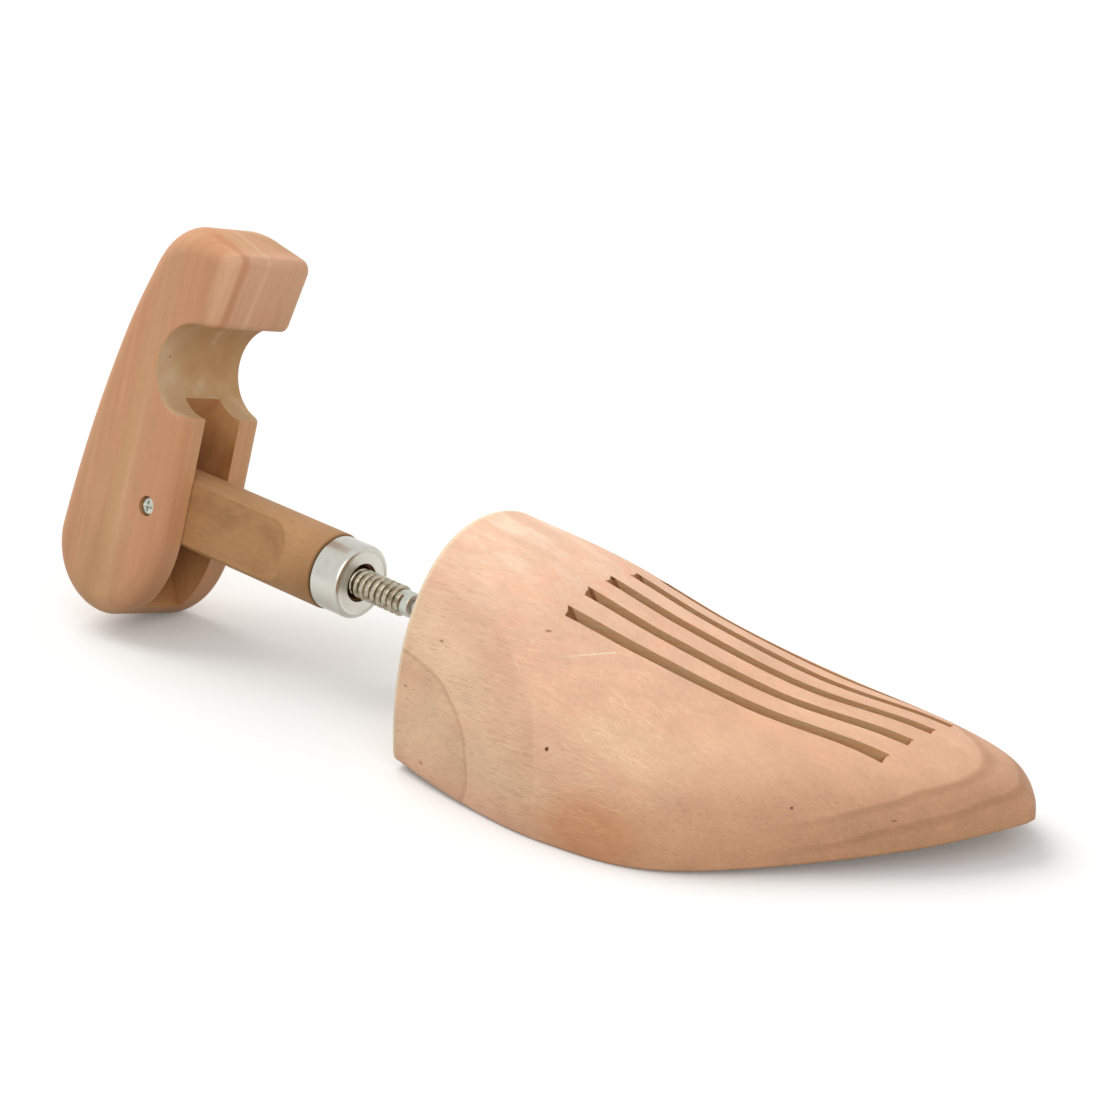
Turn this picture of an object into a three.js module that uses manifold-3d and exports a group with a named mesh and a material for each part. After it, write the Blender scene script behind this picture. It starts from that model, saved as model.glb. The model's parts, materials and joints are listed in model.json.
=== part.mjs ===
// Spiral spring shoe tree: a wooden forepart on a coil spring, a dowel shank and a pivoting heel block.
// Millimetres, +Z up, +X from heel to toe, standing on Z = 0.
// The shank has a frame of its own: origin at the middle of the ferrule's face, +X along the spring.

import * as THREE from "three";
import { mergeVertices } from "three/addons/utils/BufferGeometryUtils.js";
import Module from "manifold-3d";

const wasm = await Module();
wasm.setup();

// Pose at rest, in degrees: the shank falls towards the toe and the heel block leans sideways.
const SHANK_FALL = 5.2;
const HEEL_LEAN = 14.7;

// Clearances between neighbours
const SEAT_GAP = 0.3;
const RUNNING_GAP = 0.3;
const COIL_BORE_GAP = 0.65;
const COIL_HOLE_GAP = 1.15;
const SLOT_END_GAP = 2.1;
const CUT_EXTRA = 2;

// Facets: sides of round pieces, segments of arcs and edges, and how far a corner's handles reach to it
const ROUND_SIDES = 40;
const SMALL_SIDES = 24;
const LARGE_SIDES = 72;
const CURVE_SEGMENTS = 16;
const OUTLINE_SEGMENTS = 9;
const EDGE_SEGMENTS = 4;
const CURVE_HANDLE = 0.55;
const MERGE_DISTANCE = 1e-4;

// Shank: a dowel with a bored nose for the spring and a flat tongue for the heel block
const DOWEL_RADIUS = 10;
const PIVOT_BACK = 64.2;
const TONGUE_THICKNESS = 12;
const TONGUE_FLAT_START = -28.8;
const TONGUE_CUTTER_RADIUS = 13;
const SHOULDER_CHAMFER = 0.9;
const BORE_DEPTH = 35;

// Ferrule: a drawn cap on the shank's nose
const FERRULE_RADIUS = 9.6;
const FERRULE_LENGTH = 8.9;
const FERRULE_WALL = 0.9;
const FERRULE_EDGE_RADIUS = 1.25;

// Coil spring, on the shank's axis
const WIRE_RADIUS = 0.72;
const COIL_RADIUS = 3.13;
const COIL_PITCH = 2.02;
const COIL_OUT = 15;
const COIL_STEPS = 8;
const WIRE_END_ANGLE = 137;
const WIRE_SIDES = 5;

// Plug at the bottom of the bore that holds the coil's rear end
const PLUG_LENGTH = 5;
const SPIGOT_LENGTH = 4.5;

// Stud that carries the forepart: a spigot in the coil, a collar and a rod
const COLLAR_RADIUS = 3.2;
const COLLAR_LENGTH = 2.4;
const COLLAR_ROUND = 0.8;
const ROD_RADIUS = 1.8;
const ROD_DEPTH = 30;
const ROD_POINT = 3;

// Heel block, measured from the pivot
const HEEL_HEIGHT = 104.9;
const HEEL_THICKNESS = 30.2;
const HEEL_EDGE_RADIUS = 5.4;
const HEEL_FOOT = 32.6;
const HEEL_FOOT_BACK = 12;
const HEEL_FRONT = 6.5;
const HEEL_FRONT_START = -8;
const LIP_FRONT = 5.3;
const HEEL_BACK = 31.2;
const HEEL_BACK_START = -14;
const BACK_BULGE = 4.5;
const NECK_BACK = 18.5;
const NECK_DROP = 11.3;
const HOOK_FRONT = 11.7;
const HOOK_UNDERCUT = 4.5;
const HOOK_DROP = 2.7;
const FINGER_RADIUS = 12.2;
const FINGER_AHEAD = 5;
const FINGER_DROP = 35;
const SLOT_CUTTER_RADIUS = 45.5;
const SLOT_CUTTER_UP = 1.4;

// Pivot screw
const SCREW_HEAD_RADIUS = 2.35;
const SCREW_HEAD_HEIGHT = 1.6;
const SCREW_HEAD_SUNK = 0.6;
const SCREW_RADIUS = 1.75;
const SCREW_FAR_COVER = 5;
const RECESS_SPAN = 3;
const RECESS_WIDTH = 0.8;
const RECESS_DEPTH = 1;

// Forepart: stations from the flat rear face to the toe, each with a half width and a crown height
const FOREPART_GAP = 42.9;
const FOREPART_LENGTH = 140.3;
const FOREPART_HALF = 48.5;
const FOREPART_CROWN = 55.2;
const STATIONS = [
  { along: 0, half: 0.693, crown: 1 },
  { along: 0.2, half: 0.852, crown: 0.897 },
  { along: 0.4, half: 0.984, crown: 0.697 },
  { along: 0.6, half: 1, crown: 0.533 },
  { along: 0.8, half: 0.664, crown: 0.453 },
  { along: 0.92, half: 0.386, crown: 0.37 },
  { along: 0.975, half: 0.173, crown: 0.283 },
  { along: 1, half: 0.039, crown: 0.212 },
];
const FAR_SIDE_TRIM = 0.2;
const RIDGE_SET = 3.6;
const RIDGE_BEND = 23.2;
const CROWN_POWER = 2.17;
const SOLE_FLAT_FROM = 0.4;
const SOLE_FLAT_TO = 0.5;
const REAR_LIFT = 3;
const TOE_LIFT = 7.5;
const SOLE_EDGE = 0.8;
const FOREPART_RINGS = 44;
const CROWN_POINTS = 34;

// Vent slots sawn in the forepart's crown
const VENT_COUNT = 5;
const VENT_WIDTH = 3;
const VENT_PITCH = 8.35;
const VENT_TURN = 13.7;
const VENT_SIDE = -6.2;
const VENT_REAR = 36.4;
const VENT_FRONT = 116.2;
const VENT_DEPTH = 13;
const VENT_END_SLOPE = 24;

// Sizes that follow from the ones above
const radians = THREE.MathUtils.degToRad;
const fall = radians(SHANK_FALL);
const coilInside = COIL_RADIUS - WIRE_RADIUS;
const coilOutside = COIL_RADIUS + WIRE_RADIUS;
const boreRadius = coilOutside + COIL_BORE_GAP;
const ferruleHoleRadius = coilOutside + COIL_HOLE_GAP;
const spigotRadius = coilInside - SEAT_GAP;
const coilRear = -BORE_DEPTH + SEAT_GAP + PLUG_LENGTH + SEAT_GAP + WIRE_RADIUS;
const coilTurns = (COIL_OUT - coilRear) / COIL_PITCH;
const collarRear = COIL_OUT + WIRE_RADIUS + SEAT_GAP;
const rearFaceAlong = FOREPART_GAP / Math.cos(fall);
const rodEnd = rearFaceAlong + ROD_DEPTH;
const heelTop = HEEL_HEIGHT - HEEL_FOOT;
const fingerUp = heelTop - FINGER_DROP;
const screwLength = HEEL_THICKNESS - SCREW_HEAD_SUNK - SCREW_FAR_COVER;

// Solid modelling helpers

function toSolid(geometry) {
  const bare = geometry.index ? geometry.toNonIndexed() : geometry.clone();
  bare.deleteAttribute("normal");
  bare.deleteAttribute("uv");
  const merged = mergeVertices(bare, MERGE_DISTANCE);
  const mesh = new wasm.Mesh({
    numProp: 3,
    vertProperties: new Float32Array(merged.attributes.position.array),
    triVerts: new Uint32Array(merged.index.array),
  });
  return new wasm.Manifold(mesh);
}

function toGeometry(solid) {
  const mesh = solid.getMesh();
  const geometry = new THREE.BufferGeometry();
  geometry.setAttribute("position", new THREE.BufferAttribute(new Float32Array(mesh.vertProperties), 3));
  geometry.setIndex(new THREE.BufferAttribute(new Uint32Array(mesh.triVerts), 1));
  geometry.computeVertexNormals();
  return geometry;
}

function cut(geometry, cutters) {
  return toGeometry(cutters.reduce((solid, cutter) => solid.subtract(toSolid(cutter)), toSolid(geometry)));
}

// A turned piece on the X axis, from [radius, along X] pairs that run from its rear end to its front end
function turned(profile, sides) {
  const points = profile.map(([radius, along]) => new THREE.Vector2(radius, along));
  return new THREE.LatheGeometry(points, sides).rotateZ(-Math.PI / 2);
}

// A cylinder across the piece, along Y
function across(radius, length, x, z, sides) {
  return new THREE.CylinderGeometry(radius, radius, length, sides).translate(x, 0, z);
}

// An outline in the XZ plane, extruded along Y and centred on it
function slab(shape, thickness, edge, curveSegments) {
  const geometry = new THREE.ExtrudeGeometry(shape, {
    depth: thickness - 2 * edge,
    curveSegments,
    bevelEnabled: edge > 0,
    bevelThickness: edge,
    bevelSize: edge,
    bevelOffset: -edge,
    bevelSegments: EDGE_SEGMENTS,
  });
  return geometry.rotateX(Math.PI / 2).translate(0, thickness / 2 - edge, 0);
}

function outline(points) {
  return new THREE.Shape(points.map(([x, y]) => new THREE.Vector2(x, y)));
}

function material(color, roughness, metalness) {
  return new THREE.MeshStandardMaterial({ color, roughness, metalness });
}

function piece(name, geometry, look) {
  const mesh = new THREE.Mesh(geometry, look);
  mesh.name = name;
  return mesh;
}

// Materials
const paleWood = material(0xdeb698, 0.62, 0);
const heelWood = material(0xcf9c78, 0.6, 0);
const shankWood = material(0xb58a5a, 0.6, 0);
const polishedAluminium = material(0xd5d6d6, 0.22, 1);
const springSteel = material(0xb9b6ae, 0.3, 1);
const zinc = material(0xa9ada9, 0.42, 1);

// Shank

function shankGeometry() {
  const tail = -PIVOT_BACK - DOWEL_RADIUS;
  const nose = -FERRULE_WALL - SEAT_GAP;
  const shoulder = -FERRULE_LENGTH - SEAT_GAP;
  const tenon = FERRULE_RADIUS - FERRULE_WALL - SEAT_GAP;
  const dowel = turned([
    [0, tail],
    [DOWEL_RADIUS, tail],
    [DOWEL_RADIUS, shoulder - SHOULDER_CHAMFER],
    [DOWEL_RADIUS - SHOULDER_CHAMFER, shoulder],
    [tenon, shoulder],
    [tenon, nose],
    [boreRadius, nose],
    [boreRadius, -BORE_DEPTH],
    [0, -BORE_DEPTH],
  ], ROUND_SIDES);

  // The tongue's end is round about the pivot.
  const end = new THREE.Shape();
  end.moveTo(CUT_EXTRA, -DOWEL_RADIUS - CUT_EXTRA);
  end.lineTo(CUT_EXTRA, DOWEL_RADIUS + CUT_EXTRA);
  end.lineTo(-PIVOT_BACK, DOWEL_RADIUS + CUT_EXTRA);
  end.lineTo(-PIVOT_BACK, DOWEL_RADIUS);
  end.absarc(-PIVOT_BACK, 0, DOWEL_RADIUS, Math.PI / 2, 1.5 * Math.PI, false);
  end.lineTo(-PIVOT_BACK, -DOWEL_RADIUS - CUT_EXTRA);
  const wide = 2 * (DOWEL_RADIUS + CUT_EXTRA);
  const rounded = toSolid(dowel).intersect(toSolid(slab(end, wide, 0, CURVE_SEGMENTS)));

  // Each flat runs out to the round in the cutter's arc.
  const half = TONGUE_THICKNESS / 2;
  const rise = DOWEL_RADIUS + CUT_EXTRA - half;
  const runOut = Math.acos(1 - rise / TONGUE_CUTTER_RADIUS);
  const flat = new THREE.Shape();
  flat.moveTo(tail - CUT_EXTRA, half);
  flat.lineTo(TONGUE_FLAT_START, half);
  flat.absarc(TONGUE_FLAT_START, half + TONGUE_CUTTER_RADIUS, TONGUE_CUTTER_RADIUS,
    -Math.PI / 2, runOut - Math.PI / 2, false);
  flat.lineTo(tail - CUT_EXTRA, half + rise);
  const farCut = new THREE.ExtrudeGeometry(flat, {
    depth: wide,
    bevelEnabled: false,
    curveSegments: CURVE_SEGMENTS,
  });
  farCut.translate(0, 0, -wide / 2);
  const nearCut = farCut.clone().rotateX(Math.PI);
  const pivotHole = across(SCREW_RADIUS + RUNNING_GAP, wide, -PIVOT_BACK, 0, SMALL_SIDES);
  return cut(toGeometry(rounded), [farCut, nearCut, pivotHole]);
}

// Ferrule

function ferruleGeometry() {
  const profile = [];
  const corner = FERRULE_RADIUS - FERRULE_EDGE_RADIUS;
  profile.push([FERRULE_RADIUS - FERRULE_WALL, -FERRULE_LENGTH]);
  profile.push([FERRULE_RADIUS, -FERRULE_LENGTH]);
  const steps = 5;
  for (let i = 0; i <= steps; i += 1) {
    const turn = (i / steps) * Math.PI / 2;
    const radius = corner + FERRULE_EDGE_RADIUS * Math.cos(turn);
    profile.push([radius, FERRULE_EDGE_RADIUS * (Math.sin(turn) - 1)]);
  }
  profile.push([ferruleHoleRadius, 0]);
  profile.push([ferruleHoleRadius, -FERRULE_WALL]);
  profile.push([FERRULE_RADIUS - FERRULE_WALL, -FERRULE_WALL]);
  profile.push(profile[0]);
  return turned(profile, ROUND_SIDES);
}

// Coil spring

// The coil is left-handed, and its front end is high on the near side
const coilAngle = (turn) => THREE.MathUtils.degToRad(WIRE_END_ANGLE) + 2 * Math.PI * (coilTurns - turn);

function coilPoint(turn) {
  const angle = coilAngle(turn);
  const x = coilRear + COIL_PITCH * turn;
  return new THREE.Vector3(x, COIL_RADIUS * Math.cos(angle), COIL_RADIUS * Math.sin(angle));
}

function coilGeometry() {
  const rings = Math.round(coilTurns * COIL_STEPS);
  const along = new THREE.Vector3();
  const outward = new THREE.Vector3();
  const side = new THREE.Vector3();
  const positions = [];
  const triangles = [];
  for (let i = 0; i <= rings; i += 1) {
    const turn = (coilTurns * i) / rings;
    const angle = coilAngle(turn);
    const centre = coilPoint(turn);
    outward.set(0, Math.cos(angle), Math.sin(angle));
    along.set(COIL_PITCH / (2 * Math.PI * COIL_RADIUS), Math.sin(angle), -Math.cos(angle)).normalize();
    side.crossVectors(along, outward);
    for (let j = 0; j < WIRE_SIDES; j += 1) {
      const round = (2 * Math.PI * j) / WIRE_SIDES;
      const rim = centre.clone();
      rim.addScaledVector(outward, WIRE_RADIUS * Math.cos(round));
      rim.addScaledVector(side, WIRE_RADIUS * Math.sin(round));
      positions.push(rim.x, rim.y, rim.z);
    }
  }
  for (let i = 0; i < rings; i += 1) {
    for (let j = 0; j < WIRE_SIDES; j += 1) {
      const a = i * WIRE_SIDES + j;
      const b = i * WIRE_SIDES + ((j + 1) % WIRE_SIDES);
      triangles.push(a, b, a + WIRE_SIDES, b, b + WIRE_SIDES, a + WIRE_SIDES);
    }
  }
  const last = rings * WIRE_SIDES;
  for (let j = 1; j < WIRE_SIDES - 1; j += 1) {
    triangles.push(0, j + 1, j);
    triangles.push(last, last + j, last + j + 1);
  }
  const geometry = new THREE.BufferGeometry();
  geometry.setAttribute("position", new THREE.Float32BufferAttribute(positions, 3));
  geometry.setIndex(triangles);
  geometry.computeVertexNormals();
  return geometry;
}

// The least gap between one turn's wire and the next, over points along the helix
function coilGap() {
  const perTurn = 24;
  const points = Array.from({ length: Math.floor(coilTurns * perTurn) }, (_, i) => coilPoint(i / perTurn));
  let least = Infinity;
  for (let i = 0; i < points.length; i += 1) {
    for (let j = i + perTurn / 2; j < points.length; j += 1) {
      least = Math.min(least, points[i].distanceTo(points[j]) - 2 * WIRE_RADIUS);
    }
  }
  return least;
}

// Plug that holds the coil's rear end

function plugGeometry() {
  const radius = boreRadius - SEAT_GAP;
  const rear = -BORE_DEPTH + SEAT_GAP;
  const face = rear + PLUG_LENGTH;
  return turned([
    [0, rear],
    [radius, rear],
    [radius, face],
    [spigotRadius, face],
    [spigotRadius, face + SPIGOT_LENGTH],
    [0, face + SPIGOT_LENGTH],
  ], SMALL_SIDES);
}

// Stud that carries the forepart

function studGeometry() {
  const collarFront = collarRear + COLLAR_LENGTH;
  const profile = [
    [0, collarRear - SPIGOT_LENGTH],
    [spigotRadius, collarRear - SPIGOT_LENGTH],
    [spigotRadius, collarRear],
    [COLLAR_RADIUS, collarRear],
  ];
  const steps = 4;
  for (let i = 0; i <= steps; i += 1) {
    const turn = (i / steps) * Math.PI / 2;
    const radius = COLLAR_RADIUS - COLLAR_ROUND * (1 - Math.cos(turn));
    profile.push([radius, collarFront - COLLAR_ROUND * (1 - Math.sin(turn))]);
  }
  profile.push([ROD_RADIUS - SEAT_GAP, collarFront]);
  profile.push([ROD_RADIUS, collarFront + SEAT_GAP]);
  profile.push([ROD_RADIUS, rodEnd - ROD_POINT]);
  profile.push([0, rodEnd]);
  return turned(profile, SMALL_SIDES);
}

// Heel block

// A rounded corner from start to end, its handles part of the way to the corner
function roundedCorner(shape, start, corner, end) {
  const leave = start.clone().lerp(corner, CURVE_HANDLE);
  const arrive = end.clone().lerp(corner, CURVE_HANDLE);
  shape.bezierCurveTo(leave.x, leave.y, arrive.x, arrive.y, end.x, end.y);
}

// The point where the line through a and b meets the line through c and d
function meeting(a, b, c, d) {
  const ab = b.clone().sub(a);
  const cd = d.clone().sub(c);
  return b.clone().addScaledVector(ab, c.clone().sub(b).cross(cd) / ab.cross(cd));
}

function heelShape() {
  const front = new THREE.Vector2(HEEL_FRONT, HEEL_FRONT_START);
  const foot = new THREE.Vector2(-HEEL_FOOT_BACK, -HEEL_FOOT);
  const back = new THREE.Vector2(-HEEL_BACK, HEEL_BACK_START);
  const neck = new THREE.Vector2(-NECK_BACK, heelTop - NECK_DROP);
  const top = new THREE.Vector2(0, heelTop);
  const hook = new THREE.Vector2(HOOK_FRONT, heelTop - HOOK_DROP);
  const bulge = back.clone().lerp(neck, 0.5);
  bulge.x -= BACK_BULGE;
  const shape = new THREE.Shape();
  shape.moveTo(front.x, front.y);
  roundedCorner(shape, front, new THREE.Vector2(front.x, foot.y), foot);
  roundedCorner(shape, foot, new THREE.Vector2(back.x, foot.y), back);
  shape.quadraticCurveTo(bulge.x, bulge.y, neck.x, neck.y);
  roundedCorner(shape, neck, meeting(bulge, neck, hook, top), top);
  shape.lineTo(hook.x, hook.y);
  // Between the hook and the front the line stays inside the finger bore, which cuts it away.
  shape.lineTo(HOOK_FRONT - HOOK_UNDERCUT, fingerUp + FINGER_RADIUS / 2);
  shape.lineTo(LIP_FRONT, fingerUp - FINGER_RADIUS / 2);
  return shape;
}

// The screw's profile along its own axis, grown by a clearance for its hole
function screwProfile(grow) {
  const head = grow > 0 ? -SCREW_HEAD_SUNK - CUT_EXTRA : 0;
  return [
    [0, head],
    [SCREW_HEAD_RADIUS + grow, head],
    [SCREW_HEAD_RADIUS + grow, SCREW_HEAD_HEIGHT + grow],
    [SCREW_RADIUS + grow, SCREW_HEAD_HEIGHT + grow],
    [SCREW_RADIUS + grow, screwLength + grow],
    [0, screwLength + grow],
  ];
}

// A turned piece laid along Y, its head just under the block's near side
function onPivot(geometry) {
  return geometry.rotateZ(Math.PI / 2).translate(-PIVOT_BACK, SCREW_HEAD_SUNK - HEEL_THICKNESS / 2, 0);
}

function heelGeometry() {
  const block = slab(heelShape(), HEEL_THICKNESS, HEEL_EDGE_RADIUS, OUTLINE_SEGMENTS);
  block.translate(-PIVOT_BACK, 0, 0);
  const wide = HEEL_THICKNESS + 2 * CUT_EXTRA;
  const finger = across(FINGER_RADIUS, wide, -PIVOT_BACK + FINGER_AHEAD, fingerUp, ROUND_SIDES);
  const slotWidth = TONGUE_THICKNESS + 2 * RUNNING_GAP;
  const slotCentre = -PIVOT_BACK - DOWEL_RADIUS - SLOT_END_GAP + SLOT_CUTTER_RADIUS;
  const slot = across(SLOT_CUTTER_RADIUS, slotWidth, slotCentre, SLOT_CUTTER_UP, LARGE_SIDES);
  const screwHole = onPivot(turned(screwProfile(RUNNING_GAP), SMALL_SIDES));
  return cut(block, [finger, slot, screwHole]);
}

function screwGeometry() {
  const long = new THREE.BoxGeometry(2 * RECESS_DEPTH, RECESS_SPAN, RECESS_WIDTH);
  const wide = new THREE.BoxGeometry(2 * RECESS_DEPTH, RECESS_WIDTH, RECESS_SPAN);
  return onPivot(cut(turned(screwProfile(0), SMALL_SIDES), [long, wide]));
}

// Forepart, in a frame with its origin on the floor below the middle of its rear face

const stationCurve = new THREE.CatmullRomCurve3(
  STATIONS.map(({ along, half, crown }) => (
    new THREE.Vector3(along * FOREPART_LENGTH, half * FOREPART_HALF, crown * FOREPART_CROWN))));

function soleHeight(share) {
  const rear = Math.max(0, (SOLE_FLAT_FROM - share) / SOLE_FLAT_FROM);
  const toe = Math.max(0, (share - SOLE_FLAT_TO) / (1 - SOLE_FLAT_TO));
  return REAR_LIFT * rear ** 2 + TOE_LIFT * toe ** 2;
}

// One closed section: over the crown from the near side to the far side, then back along the sole
function sectionPoints(station) {
  const share = station.x / FOREPART_LENGTH;
  const ridge = RIDGE_SET * share + RIDGE_BEND * share ** 2;
  const sole = soleHeight(share);
  const farHalf = station.y * (1 - FAR_SIDE_TRIM * Math.sin(Math.PI * share));
  const edge = Math.min(SOLE_EDGE, station.y / 3);
  const rise = station.z - sole - edge;
  const points = [];
  for (let j = 0; j <= CROWN_POINTS; j += 1) {
    const turn = (Math.PI * j) / CROWN_POINTS;
    const reach = Math.abs(Math.cos(turn)) ** (2 / CROWN_POWER);
    const side = Math.cos(turn) > 0 ? -station.y : farHalf;
    const lift = Math.sin(turn) ** (2 / CROWN_POWER);
    points.push([ridge + side * reach, sole + edge + rise * lift]);
  }
  const corner = edge * (1 - Math.SQRT1_2);
  points.push([ridge + farHalf - corner, sole + corner]);
  points.push([ridge + farHalf - edge, sole]);
  points.push([ridge - station.y + edge, sole]);
  points.push([ridge - station.y + corner, sole + corner]);
  return points.map(([y, z]) => new THREE.Vector3(station.x, y, z));
}

function forepartBlank() {
  const rings = [];
  for (let i = 0; i <= FOREPART_RINGS; i += 1) {
    rings.push(sectionPoints(stationCurve.getPoint(i / FOREPART_RINGS)));
  }
  const count = rings[0].length;
  const positions = rings.flat().flatMap((point) => point.toArray());
  const triangles = [];
  for (let i = 0; i < FOREPART_RINGS; i += 1) {
    for (let j = 0; j < count; j += 1) {
      const a = i * count + j;
      const b = i * count + ((j + 1) % count);
      triangles.push(a, a + count, b, b, a + count, b + count);
    }
  }
  const last = FOREPART_RINGS * count;
  for (const [start, flip] of [[0, true], [last, false]]) {
    const face = rings[start / count].map((point) => new THREE.Vector2(point.y, point.z));
    for (const [a, b, c] of THREE.ShapeUtils.triangulateShape(face, [])) {
      triangles.push(start + a, start + (flip ? c : b), start + (flip ? b : c));
    }
  }
  const geometry = new THREE.BufferGeometry();
  geometry.setAttribute("position", new THREE.Float32BufferAttribute(positions, 3));
  geometry.setIndex(triangles);
  return geometry;
}

// The crown's height at a place along the forepart
function crownAt(x) {
  const halvings = 40;
  let low = 0;
  let high = 1;
  for (let i = 0; i < halvings; i += 1) {
    const middle = (low + high) / 2;
    if (stationCurve.getPoint(middle).x < x) {
      low = middle;
    } else {
      high = middle;
    }
  }
  return stationCurve.getPoint(low).z;
}

// One vent: a saw cut with sloping ends, turned a little towards the far side
function ventCutter(index) {
  const lean = Math.tan(radians(VENT_END_SLOPE));
  const turn = radians(VENT_TURN);
  const stretch = 1 / Math.cos(turn);
  const above = crownAt(0);
  const rearTop = crownAt(VENT_REAR);
  const frontTop = crownAt(VENT_FRONT);
  const rise = above - rearTop;
  const frontRise = above - frontTop;
  const shape = outline([
    [(VENT_REAR - rise * lean) * stretch, above],
    [(VENT_REAR + VENT_DEPTH * lean) * stretch, rearTop - VENT_DEPTH],
    [(VENT_FRONT - VENT_DEPTH * lean) * stretch, frontTop - VENT_DEPTH],
    [(VENT_FRONT + frontRise * lean) * stretch, above],
  ]);
  const place = VENT_SIDE + (index - (VENT_COUNT - 1) / 2) * VENT_PITCH;
  return slab(shape, VENT_WIDTH, 0, 1).rotateZ(turn).translate(0, place, 0);
}

function forepartGeometry(studHole) {
  const vents = Array.from({ length: VENT_COUNT }, (_, index) => ventCutter(index));
  return cut(forepartBlank(), [...vents, studHole]);
}

// Assembly: the heel block stands on the floor in its leaning pose, which sets the shank's height.

const shankGroup = new THREE.Group();
shankGroup.rotation.set(-radians(HEEL_LEAN), fall, 0, "YXZ");
shankGroup.add(
  piece("heel_block", heelGeometry(), heelWood),
  piece("pivot_screw", screwGeometry(), zinc),
  piece("shank", shankGeometry(), shankWood),
  piece("ferrule", ferruleGeometry(), polishedAluminium),
  piece("spring_plug", plugGeometry(), zinc),
  piece("coil_spring", coilGeometry(), springSteel),
  piece("spring_stud", studGeometry(), zinc),
);
shankGroup.updateMatrixWorld(true);
const heelBox = new THREE.Box3().setFromObject(shankGroup.getObjectByName("heel_block"), true);
shankGroup.position.z = -heelBox.min.z;
shankGroup.updateMatrixWorld(true);

const studHole = turned([
  [0, rearFaceAlong - 2 * ROD_RADIUS],
  [ROD_RADIUS + SEAT_GAP, rearFaceAlong - 2 * ROD_RADIUS],
  [ROD_RADIUS + SEAT_GAP, rodEnd + SEAT_GAP],
  [0, rodEnd + SEAT_GAP],
], SMALL_SIDES);
const forepartGroup = new THREE.Group();
forepartGroup.position.x = FOREPART_GAP;
forepartGroup.updateMatrixWorld(true);
studHole.applyMatrix4(shankGroup.matrixWorld).translate(-FOREPART_GAP, 0, 0);
forepartGroup.add(piece("forepart", forepartGeometry(studHole), paleWood));

const tree = new THREE.Group();
tree.add(shankGroup, forepartGroup);
tree.updateMatrixWorld(true);
const box = new THREE.Box3().setFromObject(tree, true);
tree.position.set(-(box.min.x + box.max.x) / 2, -(box.min.y + box.max.y) / 2, -box.min.z);
tree.updateMatrixWorld(true);

// Reference points in the finished frame
const show = (vector) => vector.toArray().map((value) => value.toFixed(5)).join(", ");
const inShank = (x) => new THREE.Vector3(x, 0, 0).applyMatrix4(shankGroup.matrixWorld);
const shankAxes = [new THREE.Vector3(), new THREE.Vector3(), new THREE.Vector3()];
shankGroup.matrixWorld.extractBasis(...shankAxes);
console.log("least gap between turns of the coil:", coilGap().toFixed(3), "mm");
console.log("ferrule face:", show(inShank(0)));
console.log("heel pivot:", show(inShank(-PIVOT_BACK)));
console.log("spring bend:", show(inShank(COIL_OUT / 2)));
console.log("stud at the rear face:", show(inShank(rearFaceAlong)));
console.log("shank axes:", shankAxes.map(show).join(" | "));

export default tree;
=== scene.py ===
"""Spiral spring shoe tree: turned, sawn and wound surfaces with their finishes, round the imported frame."""

import json
import math

import bmesh
import bpy
import numpy as np
from mathutils import Matrix, Vector


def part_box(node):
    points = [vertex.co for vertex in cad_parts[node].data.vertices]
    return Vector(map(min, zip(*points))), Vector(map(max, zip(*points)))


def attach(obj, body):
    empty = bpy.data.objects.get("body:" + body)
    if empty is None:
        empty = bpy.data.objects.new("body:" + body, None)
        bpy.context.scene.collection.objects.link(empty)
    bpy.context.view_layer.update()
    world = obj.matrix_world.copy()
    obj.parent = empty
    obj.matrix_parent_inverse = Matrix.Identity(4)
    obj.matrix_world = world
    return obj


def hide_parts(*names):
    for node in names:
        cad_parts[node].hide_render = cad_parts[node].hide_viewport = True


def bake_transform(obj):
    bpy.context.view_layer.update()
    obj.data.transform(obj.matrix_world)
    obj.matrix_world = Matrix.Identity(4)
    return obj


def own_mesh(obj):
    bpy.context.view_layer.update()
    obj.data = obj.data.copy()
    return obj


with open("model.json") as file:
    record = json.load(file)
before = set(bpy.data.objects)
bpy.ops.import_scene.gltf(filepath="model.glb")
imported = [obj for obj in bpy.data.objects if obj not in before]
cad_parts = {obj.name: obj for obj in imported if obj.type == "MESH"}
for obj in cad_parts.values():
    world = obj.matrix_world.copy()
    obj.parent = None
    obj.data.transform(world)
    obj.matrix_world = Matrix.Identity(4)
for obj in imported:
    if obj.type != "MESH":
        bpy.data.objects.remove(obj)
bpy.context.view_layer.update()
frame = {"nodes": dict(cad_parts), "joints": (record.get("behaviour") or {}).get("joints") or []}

bl_info = {
    "name": "Spiral spring shoe tree",
    "version": (1, 0, 0),
    "blender": (4, 5, 0),
    "location": "3D View > Sidebar > Shoe tree",
    "description": "Dresses the packed shoe tree with its surfaces, finishes and a plain studio",
    "category": "Object",
}

MM = 0.001
WELD = 1e-7
SHARP_ANGLE = math.radians(32)
SEED = 17
CLEARANCE = 0.3 * MM
ZINC = "zinc_plate"
HOLE_SIDES = 48
HEAD_SIDES = 64
CAP_SIDES = 160
SLOT_SIDES = 200
WAVE_STEP = 1.7

# The shank's frame: origin on the heel's pivot, X along the spring to the toe, Y along the pivot
JOINTS = {joint["name"]: joint for joint in frame["joints"]}
SHANK_X = np.array(JOINTS["forepart_twist"]["axis"])
SHANK_Y = np.array(JOINTS["heel_pivot"]["axis"])
SHANK_Z = np.cross(SHANK_X, SHANK_Y)
SHANK_TURN = np.column_stack([SHANK_X, SHANK_Y, SHANK_Z])
PIVOT = np.array(JOINTS["heel_pivot"]["pos_m"])
FOREPART_ORIGIN = np.array([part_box("forepart")[0].x, PIVOT[1], 0.0])
REAR_FACE = float((np.array(JOINTS["forepart_twist"]["pos_m"]) - PIVOT) @ SHANK_X)


# Settings

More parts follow.
